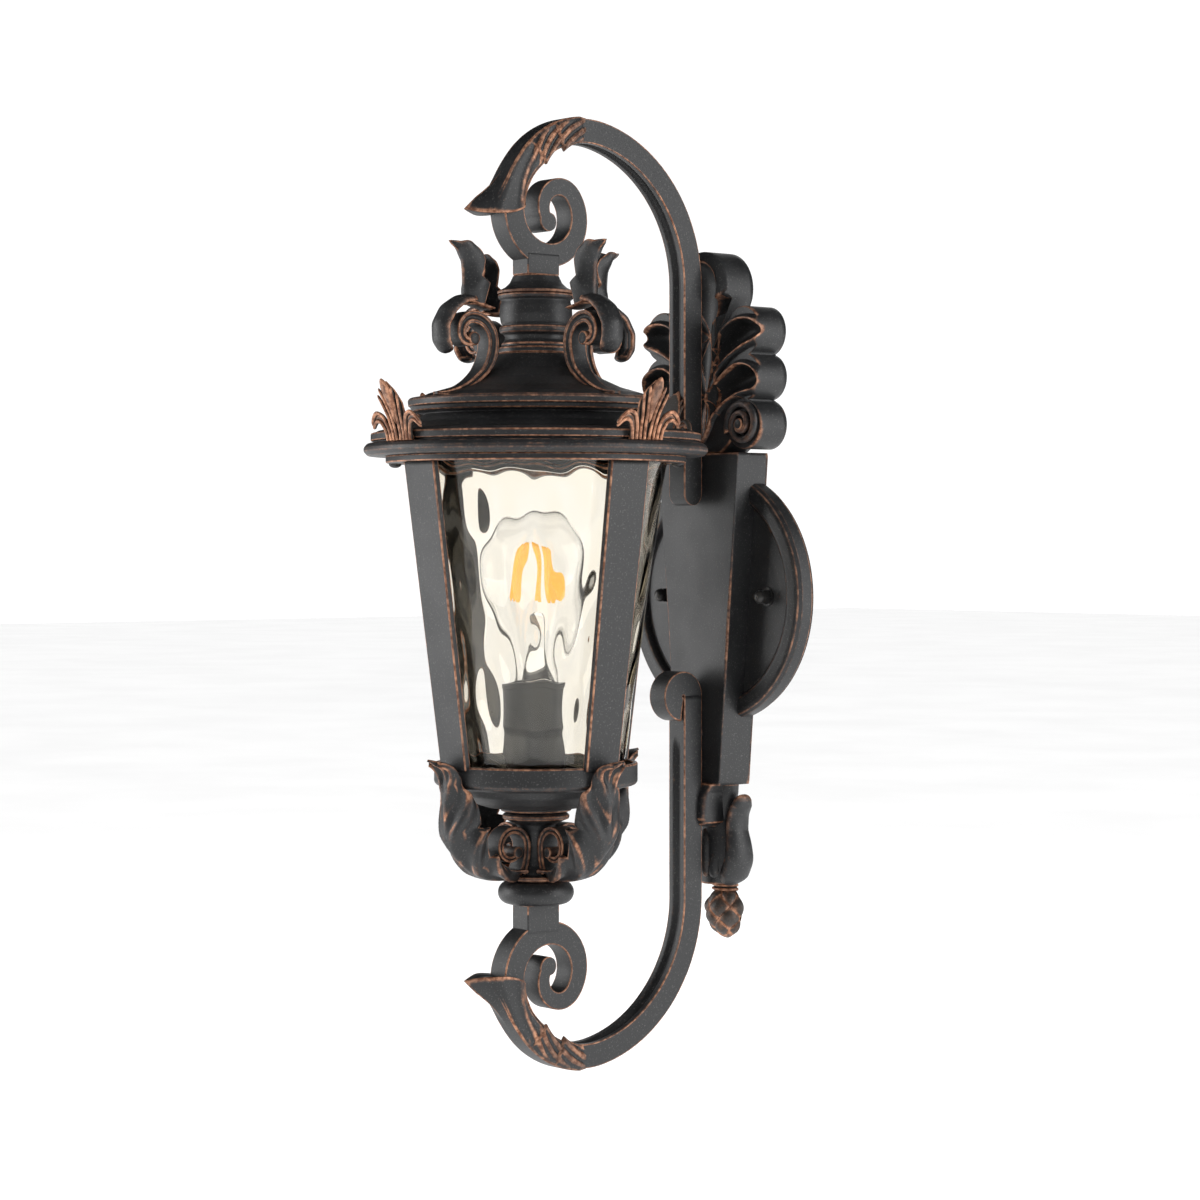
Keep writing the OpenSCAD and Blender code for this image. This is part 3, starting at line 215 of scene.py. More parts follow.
def frond(path, half, depth, thick, place, lobes=3, tooth=0.2, slant=1.0, relief=0.8, lean=0.0,
          cols=96, spine=0.6):
    """A leaf bent into a trough along a flat path. Across it s runs from -1 to 1: the middle
    line of the section goes out to half width half in a quarter sine and falls back by depth
    times |s| to the power 1.7. Its body stands thick off that line on both sides, and outside
    it rises in folds, relief times a sharpened cosine of (lobes times u minus slant times |s|).
    The reach of s grows to each lobe's tip and then drops back by tooth."""
    n = len(path[0])
    u = np.linspace(0, 1, n)[:, None]
    half, depth, thick = (np.broadcast_to(k, n)[:, None] for k in (half, depth, thick))
    a = np.linspace(0, 2 * math.pi, cols, endpoint=False)[None]
    side = np.cos(a)
    phase = (lobes * u - slant + lean) % 1
    saw = np.where(phase < 0.82, (phase / 0.82) ** 0.8, (1 - phase) / 0.18)
    s = side * (1 - tooth * (1 - saw))

    def middle(s):
        m = np.abs(s)
        return (half * np.sign(s) * np.sin(math.pi / 2 * np.minimum(m * 1.15, 1)),
                -depth * m**1.7)

    w, off = middle(s)
    w2, off2 = middle(s + 0.01)
    w1, off1 = middle(s - 0.01)
    tw, to = w2 - w1, off2 - off1
    norm = np.maximum(np.hypot(tw, to), 1e-9)
    wave = np.cos(2 * math.pi * (lobes * u - slant * np.abs(s) + lean))
    fold = relief * (wave + 0.35 * wave**2) * np.clip(np.abs(s) / 0.2, 0.1, 1)
    back = spine * np.exp(-((s / 0.13) ** 2))
    face = np.clip(np.sin(a) * 3, 0, 1) * np.clip(half / half.max() / 0.4, 0, 1)
    d = thick * np.sign(np.sin(a)) * np.abs(np.sin(a)) ** 0.6 + (fold + back) * face
    return swept(path, np.stack([w - to / norm * d, off + tw / norm * d], -1), place)


def turned(profile, place=None, cols=144):
    """A profile of (radius, height) turned about the lantern's axis."""
    a = np.linspace(0, 2 * math.pi, cols, endpoint=False)[None]
    r, z = profile[:, :1], profile[:, 1:]
    grid = np.stack([r * np.cos(a), r * np.sin(a), z * np.ones_like(a)], -1)
    return grid + np.array([0, axis_y, 0]) if place is None else place(grid)


def seated(r, z, profile):
    """A profile moved out by r and up by z."""
    return [(r + out, z + up) for out, up in profile]


def out_from(x, z):
    """Turns a lathe's grid so that its height runs out from the wall at (x, z)."""
    return lambda g: np.stack([x + g[..., 0], -g[..., 2], z + g[..., 1]], -1)


def disc(p, q, r, half_w, place, round_=0.9, dome=0.0, cols=56):
    """A short round boss whose axis lies across a flat path's plane, with softened rims."""
    line = soften([(0.01, -half_w - dome), (0.55 * r, -half_w - 0.8 * dome), (r, -half_w),
                   (r, half_w), (0.55 * r, half_w + 0.8 * dome), (0.01, half_w + dome)], round_)
    a = np.linspace(0, 2 * math.pi, cols, endpoint=False)[None]
    rad, w = line[:, :1], line[:, 1:]
    return place(w * np.ones_like(a), p + rad * np.cos(a), q + rad * np.sin(a))


def block(centre, half, radius=0.6, steps=3, top=None):
    """A box with rounded edges: rounded-rectangle loops that shrink at both ends by the same
    quarter circle. Its last three loops may be narrowed to the share top of its width."""
    a = np.linspace(0, math.pi / 2, steps + 1)
    inset = np.concatenate([[radius + 0.4], radius * (1 - np.sin(a)), np.zeros(9),
                            radius * (1 - np.cos(a)), [radius + 0.4]])
    low_end = -half[2] + radius * (1 - np.cos(a))
    height = np.concatenate([[-half[2]], low_end,
                             np.linspace(low_end[-1] + 0.3, -low_end[-1] - 0.3, 9),
                             -low_end[::-1], [half[2]]])
    corner = np.concatenate([[[radius, -0.3]],
                             radius * np.stack([np.cos(a), np.sin(a)], 1), [[-0.3, radius]]])
    corners = [np.array([sx, sy]) * (np.array(half[:2]) - radius)
               + corner @ np.array([[c, s], [-s, c]])
               for sx, sy, c, s in ((1, 1, 1, 0), (-1, 1, 0, 1), (-1, -1, -1, 0), (1, -1, 0, -1))]
    flat = np.linspace(0.08, 0.92, 8)[:, None]
    ring = np.concatenate([np.vstack([this, this[-1] + (after[0] - this[-1]) * flat])
                           for this, after in zip(corners, corners[1:] + corners[:1])])
    scale = 1 - inset[:, None] / np.array(half[:2])[None]
    loops = ring[None] * scale[:, None]
    if top:
        loops[-len(a) - 1:, :, 0] *= top
    z = np.broadcast_to(height[:, None, None], loops.shape[:2] + (1,))
    return np.concatenate([loops, z], -1) + np.array(centre)


def relief(radius, centre, back, surface, place, rows=70, cols=300, edge=1.2):
    """A plate whose outline is radius(angle) about a centre. Its wall runs from back to the
    edge, is rounded there, and its face lies at surface(p, q) out from the wall."""
    a = np.linspace(0, 2 * math.pi, cols, endpoint=False)
    r = radius(a)

    def loop(share, inset):
        rad = share * (r - inset)
        return centre[0] + rad * np.cos(a), centre[1] + rad * np.sin(a)

    p, q = loop(1, 0)
    face = surface(p, q)
    grids = [place(back + (face - edge - back) * w, p, q) for w in np.linspace(0, 1, 8)]
    for t in np.radians([22, 45, 67, 90]):
        p, q = loop(1, edge * (1 - math.cos(t)))
        grids.append(place(surface(p, q) - edge * (1 - math.sin(t)), p, q))
    for share in np.linspace(0.985, 0.01, rows):
        p, q = loop(share, edge)
        grids.append(place(surface(p, q), p, q))
    return np.stack(grids)


# ---------------------------------------------------------------- meshes

def closed_shell(grid, wrap=False):
    """Vertices, quads and end triangles of a grid whose columns close up. Its rows close up
    too if wrap, or else each end is closed by a fan. Turned so that it faces outwards."""
    m, n = grid.shape[:2]
    v = grid.reshape(-1, 3)
    i, j = np.arange(m if wrap else m - 1)[:, None], np.arange(n)[None]
    k, up = (j + 1) % n, (i + 1) % m
    quads = np.stack([i * n + j, i * n + k, up * n + k, up * n + j], -1).reshape(-1, 4)
    tris = np.zeros((0, 3), int)
    if not wrap:
        v = np.vstack([v, grid[0].mean(0), grid[-1].mean(0)])
        j, k = np.arange(n), (np.arange(n) + 1) % n
        one, last = np.full(n, m * n), (m - 1) * n
        tris = np.vstack([np.stack([k, j, one], 1), np.stack([last + j, last + k, one + 1], 1)])
    faces = np.vstack([quads[:, [0, 1, 2]], quads[:, [0, 2, 3]], tris])
    a, b, c = (v[faces[:, k]] for k in range(3))
    if np.einsum("ij,ij->", a, np.cross(b, c)) < 0:
        quads, tris = quads[:, ::-1], tris[:, ::-1]
    return v, quads, tris


def worn(v, quads, tris):
    """How sharply the surface bulges at each vertex, in 1/mm: the largest, over its edges, of
    twice the drop along its normal over the edge's length squared, spread to its neighbours."""
    faces = np.vstack([quads[:, [0, 1, 2]], quads[:, [0, 2, 3]], tris])
    flat = np.cross(v[faces[:, 1]] - v[faces[:, 0]], v[faces[:, 2]] - v[faces[:, 0]])
    normal = np.zeros_like(v)
    for k in range(3):
        np.add.at(normal, faces[:, k], flat)
    normal /= np.maximum(np.linalg.norm(normal, axis=1), 1e-12)[:, None]
    a = np.concatenate([quads[:, k] for k in range(4)])
    b = np.concatenate([quads[:, (k + 1) % 4] for k in range(4)])
    d = v[a] - v[b]
    length = np.einsum("ij,ij->i", d, d)
    keep = length > 0.01
    a, b, d, length = a[keep], b[keep], d[keep], length[keep]
    bulge = np.zeros(len(v))
    np.maximum.at(bulge, a, 2 * np.einsum("ij,ij->i", normal[a], d) / length)
    np.maximum.at(bulge, b, -2 * np.einsum("ij,ij->i", normal[b], d) / length)
    count = np.bincount(a, minlength=len(v)) + np.bincount(b, minlength=len(v)) + 1.0
    for _ in range(2):
        near = bulge + np.bincount(a, bulge[b], len(v)) + np.bincount(b, bulge[a], len(v))
        bulge = 0.35 * bulge + 0.65 * near / count
    return bulge


def piece(name, grids, finish, nodes, body="lantern"):
    """One object at the origin from one or more closed grids, with its worn attribute. A grid
    may come with whether its rows close up, and with an amount of wear to add."""
    grids = [g if isinstance(g, tuple) else (g, False) for g in grids]
    shells = [closed_shell(g[0], g[1]) for g in grids]
    extra = np.concatenate([np.pad(np.broadcast_to(g[2] if len(g) > 2 else 0.0, g[0].shape[:2])
                                   .ravel().astype(float), (0, len(s[0]) - g[0].shape[0]
                                                            * g[0].shape[1]))
                            for g, s in zip(grids, shells)])
    start = np.cumsum([0] + [len(s[0]) for s in shells])
    v = np.vstack([s[0] for s in shells])
    quads = np.vstack([s[1] + k for s, k in zip(shells, start)])
    tris = np.vstack([s[2] + k for s, k in zip(shells, start)])
    mesh = bpy.data.meshes.new(name)
    mesh.from_pydata(v * MM, [], quads.tolist() + tris.tolist())
    mesh.attributes.new("worn", "FLOAT", "POINT").data.foreach_set(
        "value", worn(v, quads, tris) + extra)
    mesh.shade_smooth()
    mesh.materials.append(finish)
    obj = bpy.data.objects.new(name, mesh)
    bpy.context.scene.collection.objects.link(obj)
    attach(obj, body)
    if nodes:
        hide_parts(*nodes)
    return obj


# ---------------------------------------------------------------- finishes

def graph(name):
    material = bpy.data.materials.new(name)
    material.use_nodes = True
    nodes, links = material.node_tree.nodes, material.node_tree.links
    nodes.clear()

    def add(kind, inputs=None, **settings):
        node = nodes.new(kind)
        for key, value in settings.items():
            setattr(node, key, value)
        for key, value in (inputs or {}).items():
            if isinstance(value, bpy.types.NodeSocket):
                links.new(value, node.inputs[key])
            else:
                node.inputs[key].default_value = value
        return node

    return material, add


def noise(add, scale, detail=3.0, rough=0.55, distort=0.0):
    """Noise fixed to the piece, scale cells to the metre."""
    where = add("ShaderNodeTexCoord").outputs["Object"]
    return add("ShaderNodeTexNoise", {"Vector": where, "Scale": scale, "Detail": detail,
                                      "Roughness": rough, "Distortion": distort}).outputs["Fac"]


def between(add, value, start, end, out_low=0.0, out_high=1.0):
    """A smooth step from out_low to out_high as value goes from start to end."""
    return add("ShaderNodeMapRange", {"Value": value, "From Min": start, "From Max": end,
                                      "To Min": out_low, "To Max": out_high},
               interpolation_type="SMOOTHSTEP").outputs["Result"]


def maths(add, how, a, b):
    """One sum or product of two values."""
    return add("ShaderNodeMath", {0: a, 1: b}, operation=how).outputs[0]


def mixed(add, share, a, b):
    """Colour a with share of colour b in it."""
    node = add("ShaderNodeMix", data_type="RGBA")
    for socket, value in zip([node.inputs[0], node.inputs[6], node.inputs[7]], [share, a, b]):
        if isinstance(value, bpy.types.NodeSocket):
            node.id_data.links.new(value, socket)
        else:
            socket.default_value = value
    return node.outputs[2]


def cast_metal(name, start, full, most, black=(0.0075, 0.0078, 0.0086, 1), patchy=0.5,
               bright=(0.56, 0.28, 0.165, 1)):
    """Satin black powder coat with a fine grain, pale specks and faint clouding, rubbed with
    copper wherever the worn attribute passes start and, by full, as much as most. Patchy is how
    far a broad noise holds the copper back."""
    material, add = graph(name)
    edge = add("ShaderNodeAttribute", attribute_name="worn").outputs["Fac"]
    streaks = noise(add, 170, 4, 0.65, 0.4)
    ragged = maths(add, "MULTIPLY", maths(add, "SUBTRACT", streaks, 0.5), 1.2 * (full - start))
    rub = between(add, maths(add, "ADD", edge, ragged), start, full, 0.0, most)
    spread = between(add, noise(add, 45, 3, 0.6), 0.36, 0.60, 1 - patchy, 1.0)
    rub = maths(add, "MULTIPLY", rub, spread)
    clouds = noise(add, 28, 4, 0.6)
    grain = noise(add, 1500, 2, 0.5)
    specks = between(add, noise(add, 1100, 2, 0.5), 0.60, 0.70, 0.0, 0.55)
    coat = mixed(add, between(add, clouds, 0.3, 0.7), black,
                 (1.9 * black[0], 1.9 * black[1], 1.85 * black[2], 1))
    coat = mixed(add, specks, coat, (0.09, 0.087, 0.083, 1))
    copper = mixed(add, between(add, noise(add, 300, 3, 0.6), 0.35, 0.65),
                   (0.17, 0.065, 0.032, 1), bright)
    colour = mixed(add, rub, coat, copper)
    rough = maths(add, "ADD", between(add, clouds, 0.3, 0.7, 0.40, 0.48),
                  maths(add, "MULTIPLY", grain, 0.10))
    bump = add("ShaderNodeBump", {"Height": maths(add, "ADD", grain, clouds), "Strength": 0.16,
                                  "Distance": 0.0004}).outputs["Normal"]
    shader = add("ShaderNodeBsdfPrincipled", {
        "Base Color": colour, "Roughness": rough, "Normal": bump,
        "Metallic": maths(add, "MULTIPLY", rub, 0.6)})
    shader.inputs["Specular IOR Level"].default_value = 0.5
    add("ShaderNodeOutputMaterial", {"Surface": shader.outputs[0]})
    return material


def mottled(name, dark, light, scale, rough=(0.35, 0.5), metallic=0.0, bump=0.1):
    """A plain finish with two tones in a fine noise, uneven gloss and a slight grain."""
    material, add = graph(name)
    tone = noise(add, scale, 4, 0.6)
    fine = noise(add, 9 * scale, 2, 0.5)
    shader = add("ShaderNodeBsdfPrincipled", {
        "Base Color": mixed(add, between(add, tone, 0.3, 0.7), dark, light),
        "Roughness": between(add, tone, 0.25, 0.75, *rough),
        "Normal": add("ShaderNodeBump", {"Height": fine, "Strength": bump,
                                         "Distance": 0.0003}).outputs["Normal"]})
    shader.inputs["Metallic"].default_value = metallic
    add("ShaderNodeOutputMaterial", {"Surface": shader.outputs[0]})
    return material


def clear(name, tint, rough, absorb=None, density=0.0):
    """Clear glass whose gloss varies a little. Its body takes up light by absorb and density."""
    material, add = graph(name)
    uneven = between(add, noise(add, 90, 3, 0.5), 0.3, 0.8, rough, rough + 0.02)
    shader = add("ShaderNodeBsdfPrincipled", {"Roughness": uneven})
    shader.inputs["Base Color"].default_value = tint
    shader.inputs["Transmission Weight"].default_value = 1.0
    shader.inputs["IOR"].default_value = 1.46
    out = add("ShaderNodeOutputMaterial", {"Surface": shader.outputs[0]})
    if absorb:
        volume = add("ShaderNodeVolumeAbsorption")
        volume.inputs["Color"].default_value = absorb
        volume.inputs["Density"].default_value = density
        material.node_tree.links.new(volume.outputs[0], out.inputs["Volume"])
    return material


def glowing(name):
    """Yellow coating over the filament strips, uneven along them, with a weak light of its own."""
    material, add = graph(name)
    tone = noise(add, 700, 3, 0.6)
    colour = mixed(add, tone, (1.0, 0.42, 0.03, 1), (1.0, 0.62, 0.10, 1))
    shader = add("ShaderNodeBsdfPrincipled", {"Base Color": colour, "Emission Color": colour,
                                              "Roughness": between(add, tone, 0.2, 0.8, 0.4, 0.6)})
    shader.inputs["Emission Strength"].default_value = 0.75
    add("ShaderNodeOutputMaterial", {"Surface": shader.outputs[0]})
    return material


black = cast_metal("satin_black_edges", 0.36, 0.95, 0.85, patchy=0.5)
black_plain = cast_metal("satin_black_broad", 0.62, 1.5, 0.5, patchy=0.9)
leafed = cast_metal("rubbed_leaf", 0.22, 0.85, 0.85, patchy=0.55)
bronzed = cast_metal("rubbed_bronze", 0.12, 0.75, 0.95, (0.018, 0.013, 0.010, 1), 0.35)
dark_steel = mottled("dark_fixing", (0.02, 0.02, 0.021, 1), (0.05, 0.048, 0.046, 1), 160,
                     (0.3, 0.42), 0.6)
zinc = mottled("zinc_steel", (0.35, 0.36, 0.37, 1), (0.55, 0.56, 0.57, 1), 90, (0.25, 0.42), 1.0)
rubber = mottled("rubber", (0.012, 0.012, 0.012, 1), (0.022, 0.022, 0.022, 1), 200, (0.6, 0.8))
plastic = mottled("black_plastic", (0.008, 0.008, 0.008, 1), (0.016, 0.015, 0.015, 1), 120,
                  (0.32, 0.45), bump=0.01)
ivory = mottled("ivory_plastic", (0.66, 0.63, 0.56, 1), (0.74, 0.71, 0.64, 1), 80, (0.35, 0.5))
brass = mottled("brass", (0.55, 0.36, 0.12, 1), (0.72, 0.5, 0.2, 1), 120, (0.25, 0.4), 1.0)
nickel = mottled("nickel_cap", (0.5, 0.5, 0.49, 1), (0.68, 0.67, 0.65, 1), 120, (0.2, 0.35), 1.0)
champagne = clear("champagne_glass", (1, 0.99, 0.965, 1), 0.01, (0.84, 0.68, 0.30, 1), 62)
bulb_clear = clear("clear_glass", (1, 1, 1, 1), 0.0)
filament = glowing("filament")


# ---------------------------------------------------------------- arms

arm_half = 7.0
scroll = [(86, 80), (55, 87), (25, 118), (21.5, 114), (12, 185)]
foot_plan = arm_half_w + 0.12, 11.5  # half its width and depth
foot_narrows = 0.9
pad = soften([(0.01, 20), (5, 20), (5, 30), (0.01, 30)])


def arm_line(bar_end, centre):
    """The middle line of an arm: the straight bar from bar_end up to centre, then the arcs of
    the scroll, each tangent to the last."""
    p, h, t = arcs((bar_y, centre), 90, scroll, step=2.0)
    bar = np.linspace(bar_end, centre, 50)[:-1]
    p = np.vstack([np.stack([np.full(49, bar_y), bar], 1), p])
    return p, np.concatenate([np.full(49, math.pi / 2), h]), np.concatenate([np.zeros(49), t])


def arm_thickness(t):
    """Half the arm's depth: even round the big arcs, thinning by two fifths to the scroll's eye."""
    return arm_half * (1 - 0.42 * np.clip((t - 240) / 320, 0, 1))


def arm_groove(path, start):
    """Depth of the wire channel: it fades in past start and out again before the scroll."""
    run = np.concatenate([[0], np.cumsum(np.linalg.norm(np.diff(path[0], axis=0), axis=1))])
    return 2.6 * np.clip((run - start) / 8, 0, 1) * np.clip((150 - path[2]) / 12, 0, 1)


def flip(grid):
    """Upside down."""
    return grid * np.array([1, 1, -1])


def with_eye(path, half, r=5.7):
    """Swells a path's last point into a disc of radius r: near it the half thickness is never
    less than that circle's, and past it the band goes on straight round the circle's far side."""
    p, h, t = path
    near = np.linalg.norm(p - p[-1], axis=1)
    near[: len(p) - 30] = 99
    half = np.maximum(half, np.sqrt(np.clip(r * r - near**2, 0, None)))
    a = np.radians(np.linspace(6, 89, 14))
    ahead = p[-1] + r * np.sin(a)[:, None] * np.array([math.cos(h[-1]), math.sin(h[-1])])
    path = np.vstack([p, ahead]), np.append(h, np.full(14, h[-1])), np.append(t, np.full(14, t[-1]))
    return path, np.concatenate([half, r * np.cos(a)])


def rounded_end(path):
    """Puts a half-round end before a path's first point: the thickness there follows a
    semicircle."""
    p, h, t = path
    a = np.radians(np.linspace(4, 86, 14))
    tail = p[0][None] - np.cos(a)[:, None] * arm_half * np.array([math.cos(h[0]), math.sin(h[0])])
    half = np.concatenate([arm_half * np.sin(a), arm_thickness(t)])
    path = (np.vstack([tail, p]), np.concatenate([np.full(14, h[0]), h]),
            np.concatenate([np.zeros(14), t]))
    return path, half


upper_centre, lower_centre = cap_top - 0.8, -(bun_z - 4.4)

path, half = with_eye(*rounded_end(arm_line(low("upper_arm", Z) + arm_half, upper_centre)))
upper = swept(path, strap(arm_half_w, half, hollow=arm_groove(path, 26)), in_arm_plane)
foot = block((0, axis_y, cap_top + 6.4), (*foot_plan, 6.4), top=foot_narrows)
pads = [turned(pad, out_from(0, z), 40) for z in (64, 78)]
foot = (foot, False, np.where(foot[..., 2] > cap_top + 6, -2.0, 0.0))
piece("upper_scroll_arm", [upper, foot, *pads], black, ["upper_arm"])

# The lower arm is worked out upside down. Its bar starts in a roll that turns out from the wall.
bar_foot = 59.0
curl = arcs((bar_y, bar_foot), -90, [(7.7, -262)], step=5)
bar = arm_line(bar_foot, lower_centre)
path = tuple(np.concatenate(pair) for pair in zip(backwards(curl), bar))
turns = np.concatenate([np.zeros(len(curl[2])), bar[2]])
path, half = with_eye((path[0], path[1], turns), arm_thickness(turns))
lower = swept(path, strap(arm_half_w, half, hollow=arm_groove(path, 60)), in_arm_plane)
foot = block((0, axis_y, -bun_z + 8.6), (*foot_plan, 8.6), top=foot_narrows)
lower_pads = [turned(pad, out_from(0, z), 40) for z in (81, 99)]
foot = (flip(foot), False, np.where(foot[..., 2] > 6 - bun_z, -2.0, 0.0))
piece("lower_scroll_arm", [foot, *(flip(g) for g in (lower, *lower_pads))], black,
      ["lower_arm"])


def arm_leaf(line):
    """A leaf laid over the arm. Across it the point runs up one side face, over the outer face
    and down the other, q millimetres from the middle. On the sides its folds run slanting to
    the tips of two lobes that overlap like tiles and reach just past the arm's inner edge. Past
    the lobes it is smooth, and at its end it flares away from the arm into a pointed lip."""
    p, h, t = line
    on_arc = (t >= 92) & (t <= 176)
    core = spaced((p[on_arc], h[on_arc], t[on_arc]), 150)
    u = np.linspace(0, 1, 150)[:, None]
    v = np.linspace(-1, 1, 97)[None]
    edge = arm_half_w + 0.9
    first, second = 0.27, 0.52
    lobe = np.where(u < first, u / first, (u - first) / (second - first)) * (u < second)
    reach = 13.2 + 3.4 * lobe**1.6 + 2.0 * (u >= second) * np.clip(1 - (u - second) / 0.3, 0, 1)
    q = v * (edge + reach * np.clip(0.75 + u * 8, 0, 1))
    down = np.maximum(np.abs(q) - edge, 0)
    fold = np.cos(2 * math.pi * (5.2 * u - 0.17 * down + 0.1))
    leafy = np.clip((0.60 - u) / 0.10, 0, 1) * np.clip(down / 4, 0, 1)
    long = np.exp(-(((down - 1.5 - 9 * u) / 2.2) ** 2)) * np.clip((u - 0.4) * 5, 0, 1)
    lift = 1.1 + leafy * (0.75 * fold + 1.5 * lobe) + 0.9 * long
    lift = lift * np.clip(u * 22, 0.25, 1) * np.clip((1 - np.abs(v)) * 12, 0.15, 1)
    flare = np.clip((u - 0.55) / 0.45, 0, 1) ** 4
    side = np.clip((np.abs(q) - edge + 2.0) / 4.0, 0, 1)
    side = side * side * (3 - 2 * side)
    round_q = np.sign(q) * np.minimum(np.abs(q), arm_half_w - 0.3)
    across = round_q + np.sign(q) * lift * side + np.sign(q) * 2.4 * flare * side
    thin = np.clip((1 - u) / 0.08, 0, 1)
    point = (1 - np.abs(v)) ** 1.9
    off = arm_half + 0.1 - down + lift * (1 - side) + 23 * flare * point
    under_w = across - np.sign(q) * (0.7 + 0.9 * thin) * side
    under_b = off - (0.7 + 1.4 * thin) * (1 - side) - 0.2
    w = np.concatenate([across, under_w[:, ::-1]], 1)
    b = np.concatenate([off, under_b[:, ::-1]], 1)
    sleeve = swept(core, np.stack([w, b], -1), in_arm_plane)
    dip = np.clip(np.abs(v) * (1 - np.abs(v)) * 4, 0, 1)
    drop = (5 * dip + 7 * point) * np.clip((u - 0.72) / 0.28, 0, 1) ** 2
    sleeve[..., 2] -= np.concatenate([drop, drop[:, ::-1]], 1)
    wear = leafy * (0.55 + 0.65 * fold) + 0.3 * long
    wear = np.maximum(wear, 0.6 * np.clip((u - 0.975) / 0.02, 0, 1))
    return (sleeve, False, np.concatenate([wear, 0 * wear], 1))


piece("upper_arm_leaf_wrap", [arm_leaf(arm_line(61, upper_centre))], leafed,
      ["upper_arm_leaf"])
grid, wrap, wear = arm_leaf(arm_line(bar_foot, lower_centre))
piece("lower_arm_leaf_wrap", [(flip(grid), wrap, wear)], leafed,
      ["lower_arm_leaf"])


# ---------------------------------------------------------------- roof

rim_top, strip_r = rim_z + 7.5, rim_r - 4
cornice_r, cornice_z = high("roof_scroll_right", X) - 2.2, rim_z + 25
shell = [(68, rim_z), (rim_r - 2.2, rim_z), (rim_r, rim_z + 2.4), (rim_r, rim_top - 3),
         (rim_r - 1.8, rim_top - 0.7), (rim_r - 3.6, rim_top - 0.2), (strip_r - 1.6, rim_top - 0.2),
         (strip_r - 1.6, rim_top + 0.8), (strip_r, rim_top + 0.9), (strip_r, rim_top + 5.2),
         (strip_r - 2.6, rim_top + 5.8), (strip_r - 4, rim_top + 6.6), (76, rim_top + 8),
         (68.5, cornice_z - 6), (64, cornice_z - 1.2), (67, cornice_z - 0.2), (70.6, cornice_z),
         (71.6, cornice_z + 2.6), (72.7, cornice_z + 3.2), (73, cornice_z + 6.4),
         (71.8, cornice_z + 7.8), (66, cornice_z + 8.2), (61.6, cornice_z + 10.4),
         (49, cornice_z + 14.0), (37.6, cornice_z + 19.2), (29.6, cornice_z + 24.6),
         (22.2, neck_z - 1.6), (21, neck_z), (2.4, neck_z), (2.4, neck_z - 3), (18, neck_z - 3),
         (20, neck_z - 8), (34, cornice_z + 16), (58, cornice_z + 5), (61, cornice_z - 4),
         (67, rim_top + 3), (85, rim_top + 2), (85, rim_z + 3), (68, rim_z + 3)]
piece("roof_bell_and_rim", [(turned(soften(shell, 0.9, 4, True), cols=220), True)],
      black, ["roof_shell"])

neck_r = 21.0
neck = [(0.01, neck_z),
        *seated(neck_r, neck_z, [
            (0, 0), (0.3, 1.4), (0.1, 3.2), (-1.6, 3.9), (-1.2, 5.4), (-3.4, 7.6), (-3.2, 10.2),
            (-0.6, 11.6), (0, 13.4), (-0.4, 15), (-2.0, 15.8), (-1.0, 17.2), (-0.2, 22),
            (-0.5, 27), (-1.4, 30), (0.4, 31.4)]),
        (neck_r + 0.8, cap_z - 0.6), (neck_r - 1.5, cap_z), (0.01, cap_z)]
piece("roof_neck_moulding", [turned(soften(neck, 0.8), cols=144)], black,
      ["roof_neck"])
cap = [(0.01, cap_z),
       *seated(neck_r, cap_z, [(0.9, 0), (1.1, 1.3), (-0.6, 2.2), (-3.4, 3.6), (-6, 6.1)]),
       (13.7, cap_z + 8.8), (13, cap_top), (0.01, cap_top)]
piece("roof_cap_cone", [turned(soften(cap, 0.8), cols=144)], black, ["roof_cap"])


